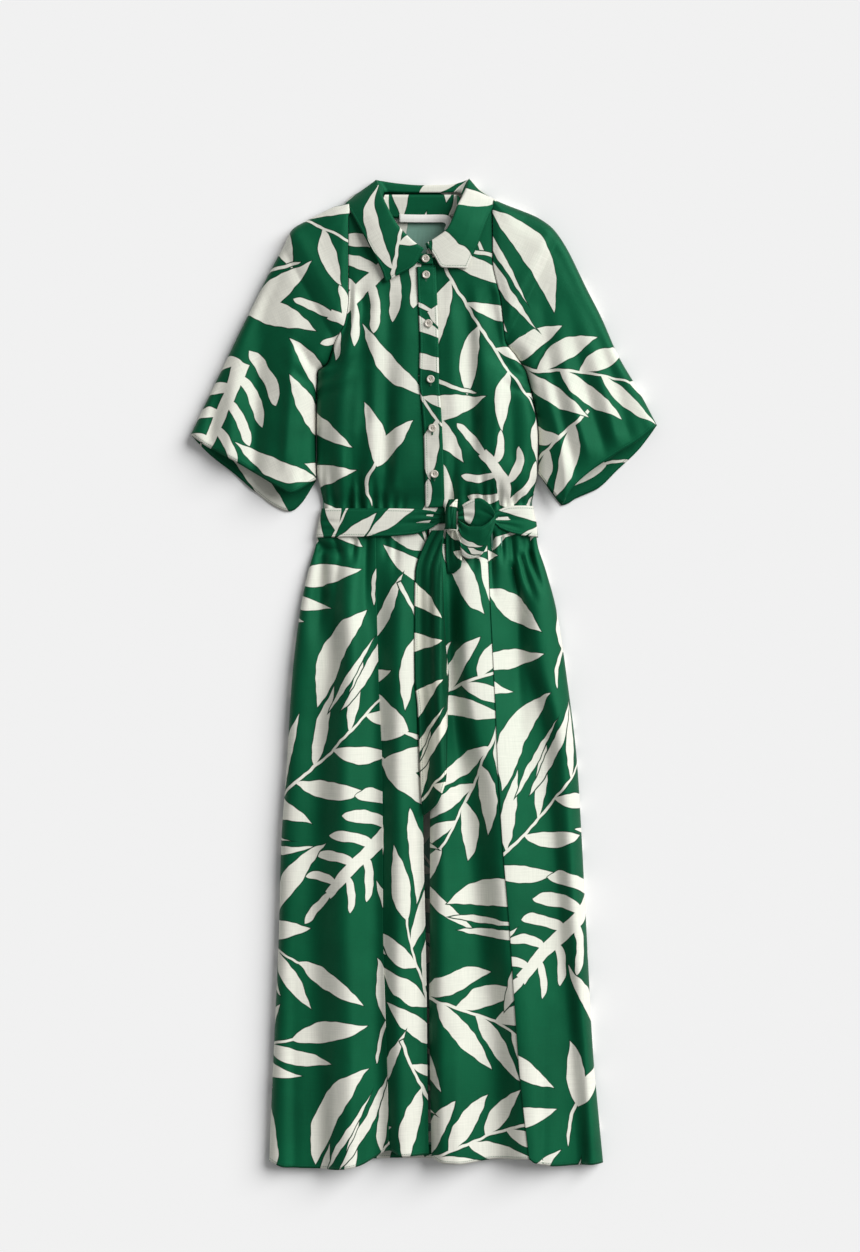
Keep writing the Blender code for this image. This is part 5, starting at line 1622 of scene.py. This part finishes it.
def belt_loop():
    last = len(LOOP["x"]) - 1
    at = np.linspace(0, last, 145)[:, None]
    x, top, bottom, top_z, bottom_z = (row(LOOP, name, at) for name in "x top bottom top_z bottom_z".split())
    part = np.linspace(0, 1, 23)
    y, z = top + (bottom - top) * part, top_z + (bottom_z - top_z) * part
    gathered = ramp(1 - at / LOOP_GATHERS[0]) + risen(at, (last - LOOP_GATHERS[1], LOOP_GATHERS[1]))
    pleats = LOOP_PLEAT * np.sin(part * math.tau * LOOP_PLEATS + LOOP_PHASE) * gathered
    place, slant, wide, deep = LOOP_CREASE
    crease = deep * np.exp(-(((part - place - slant * at) / wide) ** 2)) * (1 - gathered)
    points = grid(x, y, z + pleats - crease + soft(x + LOOP_TWIST * at, y, "belt_loop"))
    middle = len(part) // 2
    down = run_lengths(points, 0)[:, middle : middle + 1]
    flat = on_print("belt_loop", down, run_lengths(points, 1))
    return cloth("belt_loop", points, flat, edges(points, "left", "right"))


def belt_tail(name, columns, rise, stops, pleats):
    """A free end of the belt, lying on the centre of the skirt."""
    on_skirt = LAP_DROP - PLEAT_DROP - PLEAT_STEP
    at = np.linspace(0, len(columns["y"]) - 1, stops)[:, None]
    y, left, right = (row(columns, label, at) for label in ("y", "left", "right"))
    part = np.linspace(0, 1, 17)
    x = left + (right - left) * part
    lifted = on_skirt + rise * (1 - risen(-y, TAIL_SPAN))
    wave = folds(x - left, y, pleats) * risen(y - y.min(), TAIL_CUT)
    z = np.maximum(lifted + TAIL_TILT * (part - TAIL_LEVEL) - wave, TAIL_CLEAR - PLEAT_DROP)
    points = grid(x, y, height(x, y) + sag(x, y) + z)
    # A tail's cloth has painted shade: its greens are darker than the dress's.
    return cloth(name, points, unrolled(name, points, 0), edges(points, "left", "right", "last"),
                 finishes=(LEAF_PRINT_PAINTED_SHADE, LEAF_PRINT_INSIDE))


# ---------------- buttons


def ring_faces(rings, sides, closed=False):
    """The faces between rings of points, each with the same number of sides."""
    faces = []
    for ring in range(rings if closed else rings - 1):
        start, after = ring * sides, (ring + 1) % rings * sides
        for k in range(sides):
            beside = (k + 1) % sides
            faces.append((start + k, start + beside, after + beside, after + k))
    return faces


def lathe(profile, turns):
    """Rings of points about +Z from (radius, height) pairs, and the faces between them."""
    spots = []
    for radius, level in profile:
        angles = (math.tau * k / turns for k in range(turns))
        spots += [(radius * math.cos(a), radius * math.sin(a), level) for a in angles]
    return spots, ring_faces(len(profile), turns)


def tube(path, radius, sides):
    """A round tube of points along a path, closed at its ends."""
    path = np.array(path, float)
    way = np.gradient(path, axis=0)
    way /= np.linalg.norm(way, axis=1)[:, None]
    side = np.cross(way, (0.0, 0.0, 1.0))
    side /= np.linalg.norm(side, axis=1)[:, None]
    over = np.cross(side, way)
    angles = np.arange(sides) * math.tau / sides
    ring = side[:, None] * np.cos(angles)[None, :, None] + over[:, None] * np.sin(angles)[None, :, None]
    spots = (path[:, None] + ring * radius).reshape(-1, 3).tolist()
    ends = [tuple(range(sides - 1, -1, -1)), tuple(len(spots) - sides + k for k in range(sides))]
    return spots, ring_faces(len(path), sides) + ends


def merged(parts):
    """The points and faces of several parts as one."""
    spots, faces = [], []
    for more, more_faces in parts:
        faces += [tuple(k + len(spots) for k in face) for face in more_faces]
        spots += list(more)
    return spots, faces


def solid(name, spots, faces, finishes):
    mesh = bpy.data.meshes.new(name)
    mesh.from_pydata((np.array(spots, float) * MM).tolist(), [], faces)
    for made in finishes:
        mesh.materials.append(made)
    mesh.shade_smooth()
    piece = bpy.data.objects.new(name, mesh)
    bpy.context.scene.collection.objects.link(piece)
    return piece


BUTTON_PROFILE = [
    (0.001, 0), (3.4, 0), (4.6, 0.25), (5.05, 0.7), (5.2, 1.15), (5.14, 1.6), (4.9, 2.05), (4.5, 2.34),
    (4.1, 2.4), (3.75, 2.3), (3.5, 2.08), (3.2, 1.9), (2.4, 1.78), (1.2, 1.74), (0.001, 1.74),
]
BUTTON_DRILL = [(0.001, -1), (BUTTON_HOLE, -1), (BUTTON_HOLE, 4), (0.001, 4)]
BUTTON_TILTS = (7, -12, 4, 18, -6, 10)  # degrees that each button is turned on its thread
THREAD_LOW, THREAD_BOW = 1.5, 0.75  # height of a bar of thread at its ends, and how far it bows up
THREAD_REACH = 0.72  # half its length, as a share of the holes' spread
THREAD_ASIDE, THREAD_APART, THREAD_RADIUS = 0.95, 0.2, 0.21  # of the bars, and of the strands in one
BUTTONHOLE_LONG, BUTTONHOLE_WIDE = 6.6, 0.75  # half sizes
BUTTONHOLE_POWERS = (0.35, 0.8)  # how square its ends and its sides are
STITCH_BULGE, STITCH_HEIGHT = (0.52, 0.62), 0.34  # of a buttonhole's stitches, low and high in turn


def button_disc(number):
    spots, faces = lathe(BUTTON_PROFILE, 40)
    disc = solid(f"button_{number}", spots, faces, (SHELL, THREAD))
    drills = []
    for turn in range(4):
        a = math.pi / 4 + turn * math.pi / 2
        ring, sides = lathe(BUTTON_DRILL, 16)
        drills.append((np.array(ring) + np.array([math.cos(a), math.sin(a), 0]) * BUTTON_HOLE_SPREAD, sides))
    cutter = solid(f"button_{number}_cutter", *merged(drills), ())
    cut = disc.modifiers.new("holes", "BOOLEAN")
    cut.object, cut.solver = cutter, "EXACT"
    apply_modifiers(disc)
    bpy.data.objects.remove(cutter)
    return disc


def button_thread(number):
    """Two bars of doubled thread from hole to hole."""
    strands = []
    reach = np.linspace(-1, 1, 13)
    for side in (-1, 1):
        for beside in (-THREAD_APART, THREAD_APART):
            over = THREAD_LOW + THREAD_BOW * (1 - np.abs(reach) ** 3)
            path = grid(reach * BUTTON_HOLE_SPREAD * THREAD_REACH, side * THREAD_ASIDE + beside, over)
            strands.append(tube(path, THREAD_RADIUS, 6))
    return solid(f"button_{number}_thread", *merged(strands), (THREAD,))


def button(number, x, y, base):
    disc, thread = button_disc(number), button_thread(number)
    tilt = math.radians(BUTTON_TILTS[number - 1])
    spin = np.array([[math.cos(tilt), -math.sin(tilt), 0], [math.sin(tilt), math.cos(tilt), 0], [0, 0, 1]])
    for made in (disc, thread):
        places = np.empty(len(made.data.vertices) * 3)
        made.data.vertices.foreach_get("co", places)
        moved = places.reshape(-1, 3) @ spin.T + np.array([x, y, base]) * MM
        made.data.vertices.foreach_set("co", moved.ravel())
    belong(disc, f"button_{number}")
    belong(thread)


def buttonhole(number, x, y, base, across):
    """A worked buttonhole under a button: close stitches round a slit."""
    turns = np.linspace(0, math.tau, 121)[:-1]
    a, b = np.cos(turns), np.sin(turns)
    a, b = (np.sign(v) * np.abs(v) ** power for v, power in zip((a, b), BUTTONHOLE_POWERS))
    path = grid(a * BUTTONHOLE_LONG, b * BUTTONHOLE_WIDE)
    if not across:
        path = path[:, ::-1] * np.array([1, -1])
    out = np.gradient(path, axis=0)[:, ::-1] * np.array([1, -1])
    out /= np.maximum(np.linalg.norm(out, axis=1), 1e-6)[:, None]
    sides = 6
    spots = []
    for i, (spot, way) in enumerate(zip(path, out)):
        for angle in (math.tau * k / sides for k in range(sides)):
            shift = way * math.cos(angle) * STITCH_BULGE[i % 2]
            level = base + math.sin(angle) * STITCH_HEIGHT
            spots.append((x + spot[0] + shift[0], y + spot[1] + shift[1], level))
    faces = [(a, d, c, b) for a, b, c, d in ring_faces(len(path), sides, closed=True)]
    belong(solid(f"buttonhole_{number}", spots, faces, (GREEN_THREAD,)))


# ---------------- floor, light and camera

PAPER = (241, 241, 241)  # colour of the floor and of what is round it
FLOOR_HALF, FLOOR_TOP = 30.0, -0.0006  # metres
SUN_LEAN, SUN_FROM, SUN_SIZE = 54, 34, 46  # degrees: off the vertical, compass direction from +X, width
SUN_SHARE, SKY_SHARE = 0.71, 0.29  # of the light on a level white surface
CAMERA_PLACE = (0.0026, -0.135, 4.5)
CAMERA_AWAY, CAMERA_SEES = 4.48, 1.644  # metres to the dress, and across the long side of the view
SENSOR = 36  # millimetres


def stage():
    ground, _, shader = finish("floor_paper", 1.0, Specular_IOR_Level=0.0)
    shader.inputs["Base Color"].default_value = (*srgb(*PAPER), 1)
    floor = bpy.data.meshes.new("floor")
    corners = [(x * FLOOR_HALF, y * FLOOR_HALF, FLOOR_TOP) for x, y in ((-1, -1), (1, -1), (1, 1), (-1, 1))]
    floor.from_pydata(corners, [], [(0, 1, 2, 3)])
    floor.materials.append(ground)
    laid = bpy.data.objects.new("floor", floor)
    bpy.context.scene.collection.objects.link(laid)


def sun():
    lamp = bpy.data.lights.new("key", "SUN")
    lean, towards = math.radians(SUN_LEAN), math.radians(SUN_FROM)
    lamp.energy = SUN_SHARE * math.pi / math.cos(lean)
    lamp.angle = math.radians(SUN_SIZE)
    key = bpy.data.objects.new("key", lamp)
    bpy.context.scene.collection.objects.link(key)
    source = Vector((math.cos(towards) * math.sin(lean), math.sin(towards) * math.sin(lean), math.cos(lean)))
    key.rotation_mode = "QUATERNION"
    key.rotation_quaternion = source.to_track_quat("Z", "Y")


def sky():
    """Soft light from all round, with plain paper where the camera looks past the floor."""
    world = bpy.data.worlds.new("studio")
    world.use_nodes = True
    bpy.context.scene.world = world
    n = Nodes(world.node_tree)
    backdrop = world.node_tree.nodes["Background"]
    path = n.add("LightPath").outputs
    seen = n.math("MAXIMUM", path["Is Camera Ray"], path["Is Transmission Ray"])
    n.put(backdrop.inputs["Strength"], n.math("MULTIPLY_ADD", seen, 1 - SKY_SHARE, SKY_SHARE))
    n.put(backdrop.inputs["Color"], mixed(n, seen, (1.0, 1.0, 1.0), srgb(*PAPER)))
    bpy.context.scene.view_settings.view_transform = "Standard"


def camera():
    data = bpy.data.cameras.new("camera")
    made = bpy.data.objects.new("camera", data)
    bpy.context.scene.collection.objects.link(made)
    bpy.context.scene.camera = made
    made.location = CAMERA_PLACE
    data.sensor_width = SENSOR
    data.lens = SENSOR * CAMERA_AWAY / CAMERA_SEES
    data.clip_start, data.clip_end = 0.1, 100


camera()
stage()
sun()
sky()

# ---------------- the dress

TAIL_LONG_FOLDS = [
    (8, 0, 12, -520, 1, 2.4, 4.0, 1.5),
    (19, 0, 25, -460, -1, 2.2, 3.8, 1.6),
    (31, -60, 32, -430, 0, 2, 4, 0.9),
]
TAIL_SHORT_FOLDS = [(5, 0, 6, -60, 0, 1.6, 2.6, 1.4), (11, 0, 14, -64, 0, 1.6, 2.4, 1.4)]

pieces = [
    bodice_back(),
    skirt_back(),
    bodice_front("front_bodice_right", "left", "right", flip=True),
    bodice_front("front_bodice_left", "right", "left", under=True),
    placket(),
    skirt_front("front_skirt_right", "left", "pleat_left", "slit_left", HEM_LEFT, 1),
    skirt_front("front_skirt_left", "right", "pleat_right", "slit_right", HEM_RIGHT, -1),
    sleeve("sleeve_right", SLEEVE_RIGHT, CUFF_RIGHT, "left", SLEEVE_RIGHT_FOLDS, flip=True),
    sleeve("sleeve_left", SLEEVE_LEFT, CUFF_LEFT, "right", SLEEVE_LEFT_FOLDS),
    collar_stand(),
    collar(),
    neck_label(),
    belt_band(),
    belt_knot(),
    belt_loop(),
    belt_tail("belt_tail_long", TAIL_LONG, TAIL_LONG_RISE, 190, TAIL_LONG_FOLDS),
    belt_tail("belt_tail_short", TAIL_SHORT, TAIL_SHORT_RISE, 50, TAIL_SHORT_FOLDS),
]
for number, (x, y) in enumerate(zip(BUTTONS["x"], BUTTONS["y"]), 1):
    on_stand = number == 1
    seat = STAND_BUTTON_SEAT if on_stand else float(front(np.array(x), np.array(y))) + LIE + BUTTON_OVER
    buttonhole(number, x, y - (0 if on_stand else BUTTON_PULL), seat - STITCH_SINK, on_stand)
    button(number, x, y, seat)
